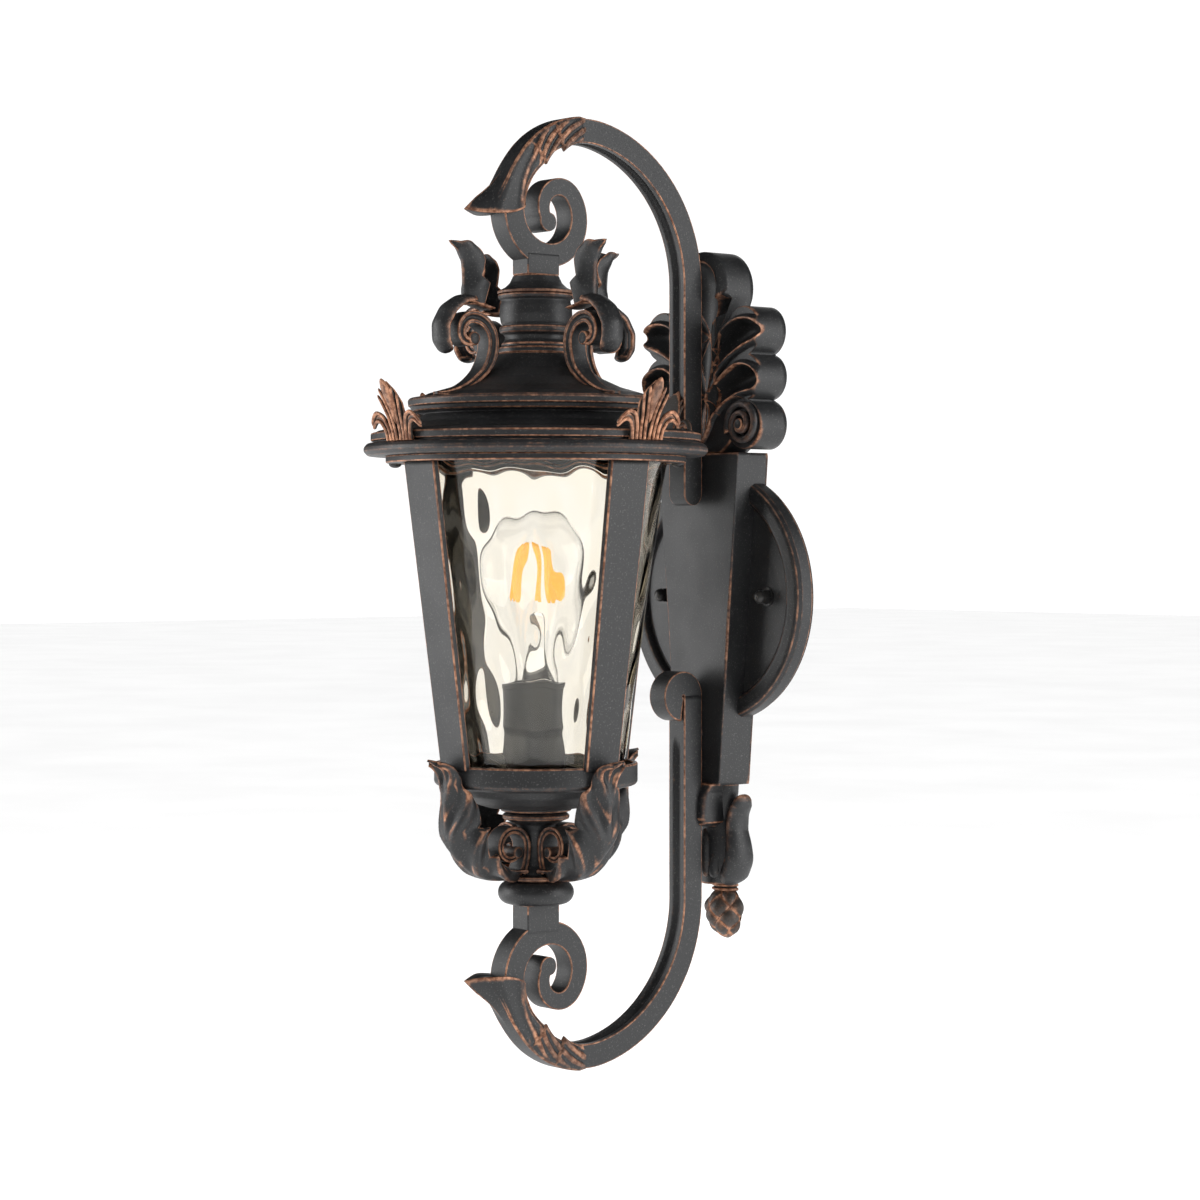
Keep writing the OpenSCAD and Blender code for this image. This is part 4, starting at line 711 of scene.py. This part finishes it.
def palmette(turn):
    """A broad pointed leaf with two thin ribs on each side of it, and at each side a pair of
    ribs that arch outwards and down with a web between them, before a thin fan. Everything
    leans out from the roof, more and more with height."""
    at = about_axis(turn)
    base = rim_top - 0.4

    def leaning(a, p, q):
        rise = np.clip(q - base, 0, None)
        return at(p, strip_r + 1.4 + 13.0 * (rise / 33.6) ** 1.35 + a, q)

    def ribs(points, start, end, lift=0.0):
        line = through([(x, base + z) for x, z in points], 54, 12)
        size = tapered(54, start, end, 0, 0.1)
        grid = swept(line, rod(line, size, 1.1 * size, lift), leaning)
        outside = 1.3 * np.clip(np.cos(np.linspace(0, 2 * math.pi, 22, endpoint=False)), 0, 1) - 0.9
        return grid, False, np.broadcast_to(outside, (54, 22))

    parts = []
    for k in (-1, 1):
        parts.append(ribs([(1.7 * k, 0), (2.6 * k, 14), (5.6 * k, 28.5)], 1.1, 0.95, 0.6))
        parts.append(ribs([(4.5 * k, 0), (5.6 * k, 13), (8.7 * k, 25)], 1.1, 0.9, 0.5))
        parts.append(ribs([(7.3 * k, 0), (7.8 * k, 7), (10.3 * k, 13.4), (15.4 * k, 15.6),
                           (19.5 * k, 12.6), (22.4 * k, 8.2)], 1.25, 1.2, 0.4))
        parts.append(ribs([(10.3 * k, 0), (10.9 * k, 5), (13.2 * k, 9.8), (16.6 * k, 11.0),
                           (19.6 * k, 9.2), (22.2 * k, 6.6)], 1.2, 1.0, 0.5))
        web = through([(8.9 * k, base), (9.5 * k, base + 6), (12 * k, base + 11.6),
                       (16 * k, base + 13.2), (20 * k, base + 10.5)], 40, 10)
        parts.append(swept(web, rod(web, tapered(40, 2.0, 1.2), 0.7, -0.3), leaning))
    spear = through([(0, base + 9), (0, base + 22), (0, base + 33.6)], 60, 4)
    s = np.linspace(0, 1, 60)
    wide = np.interp(s, [0, 0.35, 0.62, 0.8, 1], [0.4, 2.3, 3.9, 3.6, 1.2]) * tapered(60, 1, 1, 0, 0.1)
    leaf = swept(spear, rod(spear, wide, 1.5 * tapered(60, 1, 1), 0.3, 30), leaning)
    parts.append((leaf, False, 0.35))
    fan = through([(0, base - 0.2), (0, base + 16), (0, base + 32)], 60, 2)
    wide = np.interp(s, [0, 0.4, 0.64, 0.85, 1], [11.2, 8.6, 9.4, 6.4, 1.8])
    parts.append(swept(fan, rod(fan, wide, 0.9, -1.2, 40), leaning))
    return parts


for side, turn in SIDES:
    piece("palmette_ribs_" + side, palmette(turn), bronzed, ["palmette_" + side])


def roof_scroll(turn):
    """A strap that sweeps up the bell and rolls outwards, hollowed along both sides; a leaf that
    hugs the roll from above and turns up at its end; and over them a deep trough-shaped leaf
    that stands up and flicks its tip outwards, with a lip round its foot."""
    place = about_axis(turn)
    foot = (cornice_r + 1.5, cornice_z + 8.9)
    line = arcs(foot, 180, [(42, -44), (24, -46), (14, -90), (8.5, -90), (5.5, -90), (4, -60)], 3)
    p, _, t = line
    half = 0.9 + 2.6 * np.clip(t / 70, 0, 1) - 1.3 * np.clip((t - 170) / 220, 0, 1)
    wide = 3.0 + 2.6 * np.clip(t / 50, 0, 1)
    stem = swept(line, strap(wide, half, 0.5, sides=1.3), place)
    eye = disc(p[-1][0], p[-1][1], 3.9, 5.3, place, 0.8, dome=0.9)
    up = cornice_z + 44
    hug = through([(47, up + 20), (56, up + 19), (65, up + 13.5), (70.5, up + 4), (70, up - 6),
                   (65, up - 11.5), (60.5, up - 10.5)], 100, 16)
    s = np.linspace(0, 1, 100)
    wing = frond(hug, np.interp(s, [0, 0.3, 0.8, 1], [5.8, 6.6, 6.2, 4.6]) * tapered(100, 1, 1, 0, 0.08),
                 -np.interp(s, [0, 0.4, 0.8, 1], [3.5, 5.0, 4.0, 1.5]),
                 np.interp(s, [0, 0.75, 0.93, 1], [1.2, 1.3, 1.9, 0.5]), place,
                 lobes=1, tooth=0.12, relief=0.35, spine=0.5)
    rise = through([(44.5, up + 15), (45, up + 30), (45.6, up + 40), (49, up + 46.5),
                    (56, up + 50)], 110, 18)
    s = np.linspace(0, 1, 110)
    deep = np.interp(s, [0, 0.25, 0.6, 0.8, 1], [12, 13, 13, 6, 0.5])
    leaf = frond(rise, np.interp(s, [0, 0.2, 0.7, 0.86, 1], [5.6, 5.8, 5.2, 4.6, 1.2]),
                 deep, np.interp(s, [0, 0.8, 1], [1.5, 1.2, 0.4]), shifted(place, 5.5), lobes=2,
                 tooth=0.26, slant=0.5, relief=0.5, lean=0.72, spine=0.8)
    lip = through([(34, up + 13.5), (41, up + 14.5), (48, up + 16.5), (54, up + 18)], 40, 8)
    lip = swept(lip, rod(lip, tapered(40, 1.5, 1.2), 6.4, 0), place)
    return [stem, eye, wing, leaf, (lip, False, 0.2)]


def shifted(place, by):
    """The same place, moved outwards."""
    return lambda w, p, q: place(w, p + by, q)


for side, turn in SIDES:
    piece("roof_scroll_leaf_" + side, roof_scroll(turn), leafed,
          ["roof_scroll_" + side])


# ---------------------------------------------------------------- cage

bar_low_z, bar_high_z = low("cage_bar_right", Z), high("cage_bar_right", Z)
bar_high_r = high("cage_bar_right", X)
bar_low_r = cup_r + 1.6
tilt = math.atan2(bar_high_r - bar_low_r, bar_high_z - bar_low_z)


def cage_bar(turn):
    """A flat strap that widens upwards, leaning out with the cage."""
    s = np.linspace(-0.01, 1.0, 60)
    p = np.stack([bar_low_r + (bar_high_r - bar_low_r) * s - 2.0,
                  bar_low_z + (bar_high_z - bar_low_z) * s], 1)
    line = (p, np.full(60, math.pi / 2 - tilt), np.zeros(60))
    return swept(line, strap(11.5 + 2.0 * s, 2.0, 0.8, hollow_half=0, sides=0), about_axis(turn))


for side, turn in SIDES:
    piece("cage_strap_" + side, [cage_bar(turn)], black, ["cage_bar_" + side])

ring_z, ring_r = low("cage_top_ring", Z), high("cage_top_ring", X)
ring_in = ring_r - 9
ring = [(ring_in, ring_z), (ring_r, ring_z), (ring_r, rim_z), (ring_in, rim_z)]
piece("cage_ring", [(turned(soften(ring, 0.7, 3, True), cols=180), True)], black,
      ["cage_top_ring"])
bowl_z, cup_floor = cup_top - 12.6, cup_top - 9.6
cup_in = cup_r - 3
cup = [*seated(0, spool_top, [(5.3, 0), (17, 0), (20, 1.0), (20.6, 2.4), (29, 3.4), (38, 6.4),
                              (45, 10.6)]),
       (49.5, bowl_z - 1.2), (54.6, bowl_z - 0.5), (56.8, bowl_z + 0.2), (cup_r, bowl_z + 1.8),
       (cup_r, cup_top - 0.6), (cup_r - 0.6, cup_top), (cup_in, cup_top), (cup_in, cup_floor),
       (42, cup_floor), *seated(0, spool_top, [(36, 11), (26, 6.2), (5.3, 6.2)])]
piece("base_cup_bowl", [(turned(soften(cup, 0.8, 4, True), cols=200), True)], black,
      ["base_cup"])


def ripple(around, up, strength, waves, seed):
    """Rolled-glass ripple: a sum of waves, whole numbers of them round the shade, each with its
    own slant, phase and height."""
    own = np.random.default_rng(seed)
    total = 0.0
    for _ in range(waves):
        m = own.integers(7, 24)
        q = own.uniform(0.03, 0.15) * own.choice([-1, 1])
        total = total + own.uniform(0.5, 1.0) * np.sin(m * around + q * up + own.uniform(0, 6.28))
    return strength * total / math.sqrt(waves)


def shade():
    """The tapered glass: outer and inner skins, each a cone plus its own ripple along the
    radius, that fades at the two edges."""
    z0, z1 = low("glass_shade", Z) + 0.2, high("glass_shade", Z) - 0.2
    r1 = high("glass_shade", X)
    r0 = 50.0
    s = np.linspace(0, 1, 130)[:, None]
    a = np.linspace(0, 2 * math.pi, 320, endpoint=False)[None]
    z, r = z0 + (z1 - z0) * s, r0 + (r1 - r0) * s
    fade = np.clip(s * 12, 0, 1) * np.clip((1 - s) * 12, 0, 1)
    outer = r - 0.2 + (ripple(a, z, 0.34, 12, 3) - 0.6) * fade
    inner = r - 2.9 + (ripple(a, z, 0.34, 12, 11) + 0.2) * fade
    rad, z = np.concatenate([outer, inner[::-1]]), np.concatenate([z, z[::-1]])
    return np.stack([rad * np.cos(a), axis_y + rad * np.sin(a), z * np.ones_like(a)], -1)


piece("rippled_shade", [(shade(), True)], champagne, ["glass_shade"])


# ---------------------------------------------------------------- base

spool = [*seated(0, spool_z, [
             (0.01, 0), (15, 0), (16.4, 1.2), (16.2, 3.0), (13.6, 3.8), (12.4, 5.6), (9.4, 9),
             (8.6, 14), (8.4, 20), (9.0, 28), (11.6, 32.4)]),
         *seated(0, spool_top, [(16.6, -4.4), (18.9, -3.5), (19.2, -1.6), (17.6, -0.1),
                                (0.01, 0)])]
piece("neck_spool_turning", [turned(soften(spool, 0.9), cols=120)], black,
      ["neck_spool"])
bulge = (spool_z - bun_z) / 2
a = np.radians(np.linspace(-84, 84, 22))
bun_line = np.stack([15.3 + 6.4 * np.cos(a), bun_z + bulge + bulge * np.sin(a)], 1)
bun_line = np.vstack([[0.01, bun_z], bun_line, [0.01, spool_z]])
piece("bun_turning", [turned(bun_line, cols=120)], black_plain, ["bun"])


def leaf_bracket(turn):
    """A trough-shaped acanthus leaf that sweeps out and up round the cup, in slanting folds,
    and flings its flat tip outwards; and a hollowed strap rolled in behind it."""
    place = about_axis(turn)
    root = (14.0, spool_z + 5.6)
    line = spaced(arcs(root, -14, [(42, 60), (30, 42), (200, 6), (12, -70), (30, -14)], 3), 170)
    u = np.linspace(0, 1, 170)
    half = np.interp(u, [0, 0.2, 0.45, 0.7, 0.82, 0.9, 0.96, 1], [7.5, 10, 12.5, 11, 9, 7.6, 4.5, 0.6])
    deep = np.interp(u, [0, 0.2, 0.4, 0.58, 0.68, 0.78, 0.88, 1], [3, 9, 17, 21, 15, 5, 2, -1])
    thick = np.interp(u, [0, 0.3, 0.8, 1], [1.8, 2.0, 1.3, 0.5])
    leaf = frond(line, half, deep, thick, place, lobes=4, tooth=0.26, slant=1.3, relief=1.9,
                 lean=0.1, cols=128, spine=1.2)
    roll = arcs(root, 118, [(30, -30), (9.8, -90), (9.2, -95), (7, -100), (4.6, -60)], 4)
    m = len(roll[0])
    strip = swept(roll, strap(6.0, np.linspace(2.2, 1.6, m), 0.5, sides=1.0), place)
    eye = disc(roll[0][-1][0], roll[0][-1][1], 3.2, 6.0, place, 0.7, dome=0.8)
    a = np.linspace(0, 2 * math.pi, 128, endpoint=False)[None]
    streak = np.cos(2 * math.pi * (8 * u[:, None] - 2.6 * np.abs(np.cos(a))))
    some = 0.3 + 0.7 * np.clip(np.sin(23 * u[:, None] + 4 * np.cos(a)), 0, 1)
    wear = 0.75 * some * np.clip(streak, 0, 1) ** 3 * np.clip(np.sin(a) * 3, 0, 1)
    return [(leaf, False, wear), strip, eye]


for side, turn in SIDES:
    piece("acanthus_bracket_" + side, leaf_bracket(turn), leafed,
          ["leaf_bracket_" + side])


# ---------------------------------------------------------------- wall plate

top_half, foot_half = high("wall_panel", X), 19.0
outline = np.array([(top_half, panel_top), (-top_half, panel_top), (-foot_half, panel_foot),
                    (foot_half, panel_foot)])


def slab(corners, back, front, radius=1.2, per_side=24):
    """A plate from straight-sided corners: the outline, then the same drawn in by a quarter
    circle at the front edge."""
    c = np.array(corners, float)
    nxt = np.roll(c, -1, 0)
    t = np.linspace(0.01, 0.99, per_side)[None, :, None]
    ring = (c[:, None] * (1 - t) + nxt[:, None] * t).reshape(-1, 2)
    mid = c.mean(0)
    rows = [place_wall(ring, w) for w in np.linspace(back, front - radius - 0.4, 14)]
    rows.append(place_wall(ring, front - radius))
    for a in np.radians([22, 45, 67, 90]):
        toward = mid - ring
        toward = toward / np.linalg.norm(toward, axis=1)[:, None]
        inset = ring + 1.3 * radius * (1 - math.cos(a)) * toward
        rows.append(place_wall(inset, front - radius * (1 - math.sin(a))))
    for share in np.append(0.99, np.linspace(0.96, 0.02, 16)):
        rows.append(place_wall(mid + (inset - mid) * share, front))
    return np.stack(rows)


def place_wall(ring, w):
    return on_wall(np.full(len(ring), w), ring[:, 0], ring[:, 1])


piece("tapered_panel", [slab(outline, 0.0, panel_front)], black, ["wall_panel"])

dish = [(0.01, 9), (60.8, 9), (62.3, 8.2), (63.2, 11.2), (64.4, 12.6), (66, 13), (71.6, 13),
        (73.6, 12.3), (74.4, 10.6), (75, 9.4), (75, 1.5), (71, 1.5), (71, 5), (0.01, 5)]
piece("canopy_dish", [turned(soften(dish, 0.8), out_from(0, 0), 220)], black,
      ["canopy"])

crest_mid = (0.0, panel_top + 45)
crest_lobes = [(0, 98, 22.6), (36, 71.5, 14.8), (-36, 71.5, 14.8), (38, 44.5, 13.6),
               (-38, 44.5, 13.6), (37, 16.5, 14.6), (-37, 16.5, 14.6), (0, 30, 34)]


def crest_radius(a):
    """How far the crest reaches from its middle at each angle: the farthest point that a ray
    meets on any of the lobes' circles."""
    ca, sa = np.cos(a), np.sin(a)
    far = np.full_like(a, 20.0)
    for x, z, r in crest_lobes:
        dx, dz = x - crest_mid[0], z + panel_top - crest_mid[1]
        along = dx * ca + dz * sa
        gap = dx * dx + dz * dz - along * along
        hit = np.where(gap < r * r, along + np.sqrt(np.maximum(r * r - gap, 0)), 0)
        far = np.maximum(far, hit)
    floor = np.where(sa < 0, (crest_mid[1] - panel_top) / np.maximum(-sa, 1e-3), 1e3)
    return np.minimum(far, floor)


flutes = crest_lobes[:5] + [(18, 88, 9.5), (-18, 88, 9.5)]
root = np.array([0.0, panel_top + 8])


def crest_face(x, z):
    """Flutes that spread from the foot of the shell. For each, d is the distance from a line
    from the foot to the lobe's middle over a width that grows along it; the face follows the
    nearest flute: hollow in the middle, a raised rim near d = 0.8, and falling off outside."""
    far = np.hypot(x - root[0], z - root[1])
    best = np.full_like(x, 9.0)
    deep = np.zeros_like(x)
    for fx, fz, r in flutes:
        droop = 0.0 if fx == 0 else 0.011 * math.copysign(1, fx)
        end = np.array([fx, panel_top + fz])
        bend = droop * (far - np.hypot(*(end - root)))
        c, s = np.cos(bend), np.sin(bend)
        px, pz = c * (x - root[0]) - s * (z - root[1]), s * (x - root[0]) + c * (z - root[1])
        run = end - root
        t = np.clip((px * run[0] + pz * run[1]) / (run @ run), 0, 1)
        d = np.hypot(px - t * run[0], pz - t * run[1]) / (3.0 + (r - 3.0) * t)
        deep = np.where(d < best, 0.35 + 0.65 * t, deep)
        best = np.minimum(best, d)
    hollow = np.clip(1 - (best / 0.72) ** 2, 0, 1) ** 0.7
    fall = np.clip((best - 0.78) / 0.22, 0, 1) ** 1.5
    return panel_front - 13.0 * deep * hollow - 3.5 * fall


def volute(side):
    """A rib wound into a spiral on the front of a round boss."""
    cx, cz = side * 37, panel_top + 16.5
    a = np.linspace(0, 2.1 * 2 * math.pi, 150)
    r = 13.4 - 11.0 * a / a[-1]
    ang = math.radians(200 if side > 0 else -20) - side * a
    p = np.stack([cx + r * np.cos(ang), cz + r * np.sin(ang)], 1)
    g = np.gradient(p, axis=0)
    h = np.arctan2(g[:, 1], g[:, 0])
    b = np.linspace(0, 2 * math.pi, 18, endpoint=False)[None]
    size = (2.3 - 0.6 * a / a[-1])[:, None]
    flat = p[:, None] + (size * np.cos(b))[..., None] * np.stack([np.sin(h), -np.cos(h)], 1)[:, None]
    rise = panel_front - 2.6 + 2.4 * (a / a[-1])[:, None] + size * 1.15 * np.sin(b)
    eye = disc(cx, cz, 3.4, 2.0, lambda w, p, q: on_wall(w + panel_front - 0.6, p, q), 1.0, dome=0.8)
    return [on_wall(rise, flat[..., 0], flat[..., 1]), eye]


crest = relief(crest_radius, crest_mid, 0.0, crest_face, on_wall, rows=110, cols=420)
piece("shell_crest", [crest, *volute(-1), *volute(1)], black, ["crest_shell"])


# ---------------------------------------------------------------- drop leaf and cone

drop_top, drop_low = panel_foot, low("drop_leaf", Z)


def drop_leaf():
    """The hanging leaf: a rounded core; an ogee block at the top of its front; an S-shaped stem
    at each side that curls outwards at the top; and swelling petals low down."""
    def in_wall(depth):
        return lambda w, p, q: on_wall(w + depth, p, q)

    down = through([(0, drop_top + 0.5), (0, drop_top - 30), (0, drop_low)], 70, 2)
    s = np.linspace(0, 1, 70)
    wide = np.interp(s, [0, 0.1, 0.35, 0.6, 0.8, 0.93, 1], [17.5, 17, 13, 15.5, 16.5, 13, 9.4])
    core = swept(down, rod(down, wide, np.interp(s, [0, 0.35, 0.7, 1], [9.5, 9, 9.5, 8]), 8.0, 48),
                 in_wall(1.5))
    parts = [np.stack([core[..., 0], np.minimum(core[..., 1], 0), core[..., 2]], -1)]
    ogee = through([(0, drop_top + 0.6), (0, drop_top - 12), (0, drop_top - 25)], 50, 0)
    s = np.linspace(0, 1, 50)
    front = np.interp(s, [0, 0.12, 0.3, 0.55, 0.82, 0.84, 0.95, 1],
                      [6, 7.6, 9.6, 10.2, 10.3, 9.4, 9.0, 4])
    parts.append(swept(ogee, squared(np.interp(s, [0, 0.2, 0.9, 1], [14, 12.5, 11.5, 9]), front),
                       in_wall(20.5)))
    for k in (-1, 1):
        stem = through([(x * k, drop_top - z) for x, z in (
            (23.6, 5.5), (22.4, 10), (18.4, 18), (17.6, 27), (19.4, 37), (19.6, 46), (15.5, 54))]
            + [(9 * k, drop_low + 0.8)], 110, 14)
        s = np.linspace(0, 1, 110)
        flat = np.interp(s, [0, 0.12, 0.4, 0.65, 0.85, 1], [2.4, 4.2, 4.4, 5.6, 5.6, 3])
        flat = flat * tapered(110, 1, 1, 0.06, 0.06)
        parts.append((swept(stem, rod(stem, flat, 1.65 * flat + 1, 0, 30), in_wall(8.6)), False,
                      0.5 * np.clip(1 - s / 0.08, 0, 1)[:, None] * np.ones((1, 30))))
        for x, z, size, long, out in ((6.2, 46, 5.2, 11, 14.5), (10.5, 33, 3.4, 7.5, 13.0),
                                      (13.4, 49, 3.8, 8, 12.5)):
            petal = through([(x * k, drop_top - z + long), (x * 0.95 * k, drop_top - z),
                             (x * 0.8 * k, drop_top - z - long)], 40, 3)
            parts.append(swept(petal, rod(petal, tapered(40, size * 0.7, size, 0.5, 0.35), None, 0, 24),
                               in_wall(out)))
    bud = through([(0, drop_top - 26), (0, drop_top - 40), (0, drop_top - 56)], 50, 3)
    parts.append(swept(bud, rod(bud, tapered(50, 4.0, 4.4, 0.4, 0.4), None, 0, 24), in_wall(17.5)))
    return parts


def squared(flat, deep, cols=44):
    """Sections like a rounded square: flat and deep are the half sizes along a path."""
    a = np.linspace(0, 2 * math.pi, cols, endpoint=False)[None]
    c, s = np.cos(a), np.sin(a)
    return np.stack([deep[:, None] * np.sign(c) * np.abs(c) ** 0.28,
                     flat[:, None] * np.sign(s) * np.abs(s) ** 0.28], -1)


piece("acanthus_drop", drop_leaf(), leafed, ["drop_leaf"])


def half_turned(radius, z, cols=120):
    """Half of a turned shape, flat against the wall. radius is a grid over height and angle."""
    a = np.linspace(0, math.pi, cols)[None]
    front = np.stack([radius * np.cos(a), -radius * np.sin(a), z * np.ones_like(a)], -1)
    back = front[:, 1:-1][:, ::-1] * np.array([1, 0, 1])
    return np.concatenate([front, back], 1)


line = soften(seated(0, drop_low, [
    (0.01, 0), (8.2, 0), (9.6, -0.9), (9.6, -1.7), (7.9, -2.5), (9.6, -3.3), (9.6, -4.2), (8.2, -5),
    (0.01, -5)]), 0.5)
piece("collar_rings", [half_turned(line[:, :1] * np.ones((1, 120)), line[:, 1:])], bronzed,
      ["cone_collar"])


def pine_cone():
    """A rounded cone covered in scales: two families of crossing spirals mark out diamonds, and
    each diamond swells to a blunt scale that is highest near its lower point."""
    top, low_z = drop_low - 4.6, low("pine_cone", Z) + 0.1
    s = np.linspace(0.004, 1, 120)[:, None]
    a = np.linspace(0, math.pi, 120)[None]
    base = 14.6 * np.sin(math.pi / 2 * np.clip(s / 0.62, 0, 1)) ** 0.62 * (
        1 - 0.50 * np.clip((s - 0.62) / 0.38, 0, 1) ** 2)
    u, v = a / math.pi * 2.5, 2.1 * s**0.9
    one, two = np.abs(np.sin(math.pi * (u + v))), np.abs(np.sin(math.pi * (u - v)))
    scale = (one * two) ** 0.55
    rad = base * 0.86 + 2.5 * scale * np.clip(base / 8, 0, 1) - 0.6
    return half_turned(np.maximum(rad, 0.02), low_z + (top - low_z) * s)


piece("pine_cone_scales", [pine_cone()], bronzed, ["pine_cone"])


# ---------------------------------------------------------------- lamp and holder

cap_high = high("bulb_cap", Z)
bulb_r, bulb_top = high("bulb_glass", X), high("bulb_glass", Z)


def bulb_line(inset):
    """A round head that narrows in a smooth cosine curve to the neck."""
    head = bulb_top - bulb_r
    t = np.linspace(0, 1, 40)
    neck = 12.4 - inset + (bulb_r - 12.4) * (1 - np.cos(math.pi * t)) / 2
    lower = np.stack([neck, cap_high + (head - cap_high) * t], 1)
    a = np.radians(np.linspace(0, 89.5, 30)[1:])
    upper = np.stack([(bulb_r - inset) * np.cos(a), head + (bulb_r - inset) * np.sin(a)], 1)
    return np.vstack([lower, upper])


outer, inner = bulb_line(0.0), bulb_line(0.9)
skin = np.vstack([outer, [0.02, bulb_top], [0.02, bulb_top - 0.9], inner[::-1]])
piece("lamp_glass", [(turned(skin, cols=120), True)], bulb_clear, ["bulb_glass"],
      "lamp")
stem = soften(seated(0, cap_high, [(0.01, 0), (9.6, 0), (7, 9), (3.2, 20), (2.2, 30), (3.4, 40),
                                   (2.0, 42), (0.01, 42)]), 2.0, 6)
piece("lamp_stem", [turned(stem, cols=64)], bulb_clear, ["bulb_stem"], "lamp")

holder_low, holder_top = low("lampholder", Z), high("lampholder", Z)
holder = [*seated(0, holder_low, [(5.2, 0), (12.5, 0), (16.5, 3), (16.8, 22), (17.4, 24),
                                  (19, 26.5)]),
          *seated(0, holder_top, [(19, -3.4), (19.5, -3), (19.5, -0.4), (18.6, 0), (14.2, 0),
                                  (14.0, -33), (5.2, -33)])]
piece("holder_body", [(turned(soften(holder, 0.8, 4, True), cols=120), True)], plastic,
      ["lampholder"])


def filament_sticks():
    """Eight thin sticks that splay downwards round the glass stem."""
    sticks = []
    for turn in range(0, 360, 45):
        line = through([(14.0, cap_high + 48), (7.5, cap_high + 80)], 16, 0)
        sticks.append(swept(line, rod(line, tapered(16, 1.5, 1.5, 0.06, 0.06), 1.3, 0, 12),
                            about_axis(turn + 12)))
    return sticks


piece("glowing_sticks", filament_sticks(), filament, ["bulb_filaments"], "lamp")

# Nodes whose CAD shape is right keep it and take a finish
for name, finish in {
        "wall_bracket": zinc, "bracket_studs": zinc, "wall_gasket": rubber,
        "canopy_washers": dark_steel, "cap_nut_left": dark_steel, "cap_nut_right": dark_steel,
        "cable_grommet": rubber, "terminal_block": ivory, "panel_screws": zinc,
        "arm_screws": zinc, "cap_bolt": zinc, "rim_screw_left": dark_steel,
        "rim_screw_right": dark_steel, "top_gasket": rubber, "bottom_gasket": rubber,
        "holder_shell": brass, "holder_contact": brass, "tie_rod": zinc, "lock_nut": zinc,
        "bulb_cap": nickel}.items():
    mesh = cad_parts[name].data
    mesh.materials.clear()
    mesh.materials.append(finish)


# ---------------------------------------------------------------- stage, light and camera

floor_mesh = bpy.data.meshes.new("floor")
side = 14.0
floor_mesh.from_pydata([(-side, -side, -0.42), (side, -side, -0.42), (side, side, -0.42),
                        (-side, side, -0.42)], [], [(0, 1, 2, 3)])
floor = bpy.data.objects.new("floor", floor_mesh)
bpy.context.scene.collection.objects.link(floor)
floor_mesh.materials.append(mottled("pale_floor", (0.93, 0.93, 0.93, 1), (0.96, 0.96, 0.96, 1),
                                    3, (0.8, 0.9), bump=0.0))

world = bpy.data.worlds.new("soft_room")
world.use_nodes = True
world.node_tree.nodes["Background"].inputs["Color"].default_value = (1, 1, 1, 1)
world.node_tree.nodes["Background"].inputs["Strength"].default_value = 1.12
bpy.context.scene.world = world
world.cycles_visibility.glossy = False
bpy.context.scene.view_settings.view_transform = "Standard"


def soft_light(name, place, width, height, bright):
    """A soft box that faces the lantern; bright is its brightness against the white room."""
    data = bpy.data.lights.new(name, "AREA")
    data.shape, data.size, data.size_y = "RECTANGLE", width, height
    data.energy = bright * math.pi * width * height
    lamp = bpy.data.objects.new(name, data)
    lamp.location = place
    way = np.array([0, -0.12, 0]) - np.array(place)
    lamp.rotation_euler = (math.acos(-way[2] / np.linalg.norm(way)), 0,
                           math.atan2(way[1], way[0]) - math.pi / 2)
    lamp.visible_camera = lamp.visible_transmission = False
    bpy.context.scene.collection.objects.link(lamp)


soft_light("left_softbox", (-1.5, -1.5, 0.3), 1.3, 1.8, 3.9)
soft_light("right_softbox", (1.7, 0.9, 0.4), 1.2, 1.8, 3.8)
soft_light("front_fill", (0.9, -1.6, 1.5), 0.9, 0.9, 1.0)
soft_light("back_fill", (-1.3, 1.5, 0.6), 1.0, 1.4, 1.6)

camera_data = bpy.data.cameras.new("camera")
camera_data.lens, camera_data.sensor_width = 90, 36
camera_data.shift_y = -0.0458
camera_data.dof.use_dof = False
camera_data.clip_end = 100
camera = bpy.data.objects.new("camera", camera_data)
camera.location = (1.3334, -1.2192, 0.0305)
camera.rotation_euler = (math.radians(90), 0, math.radians(50))
bpy.context.scene.collection.objects.link(camera)
bpy.context.scene.camera = camera
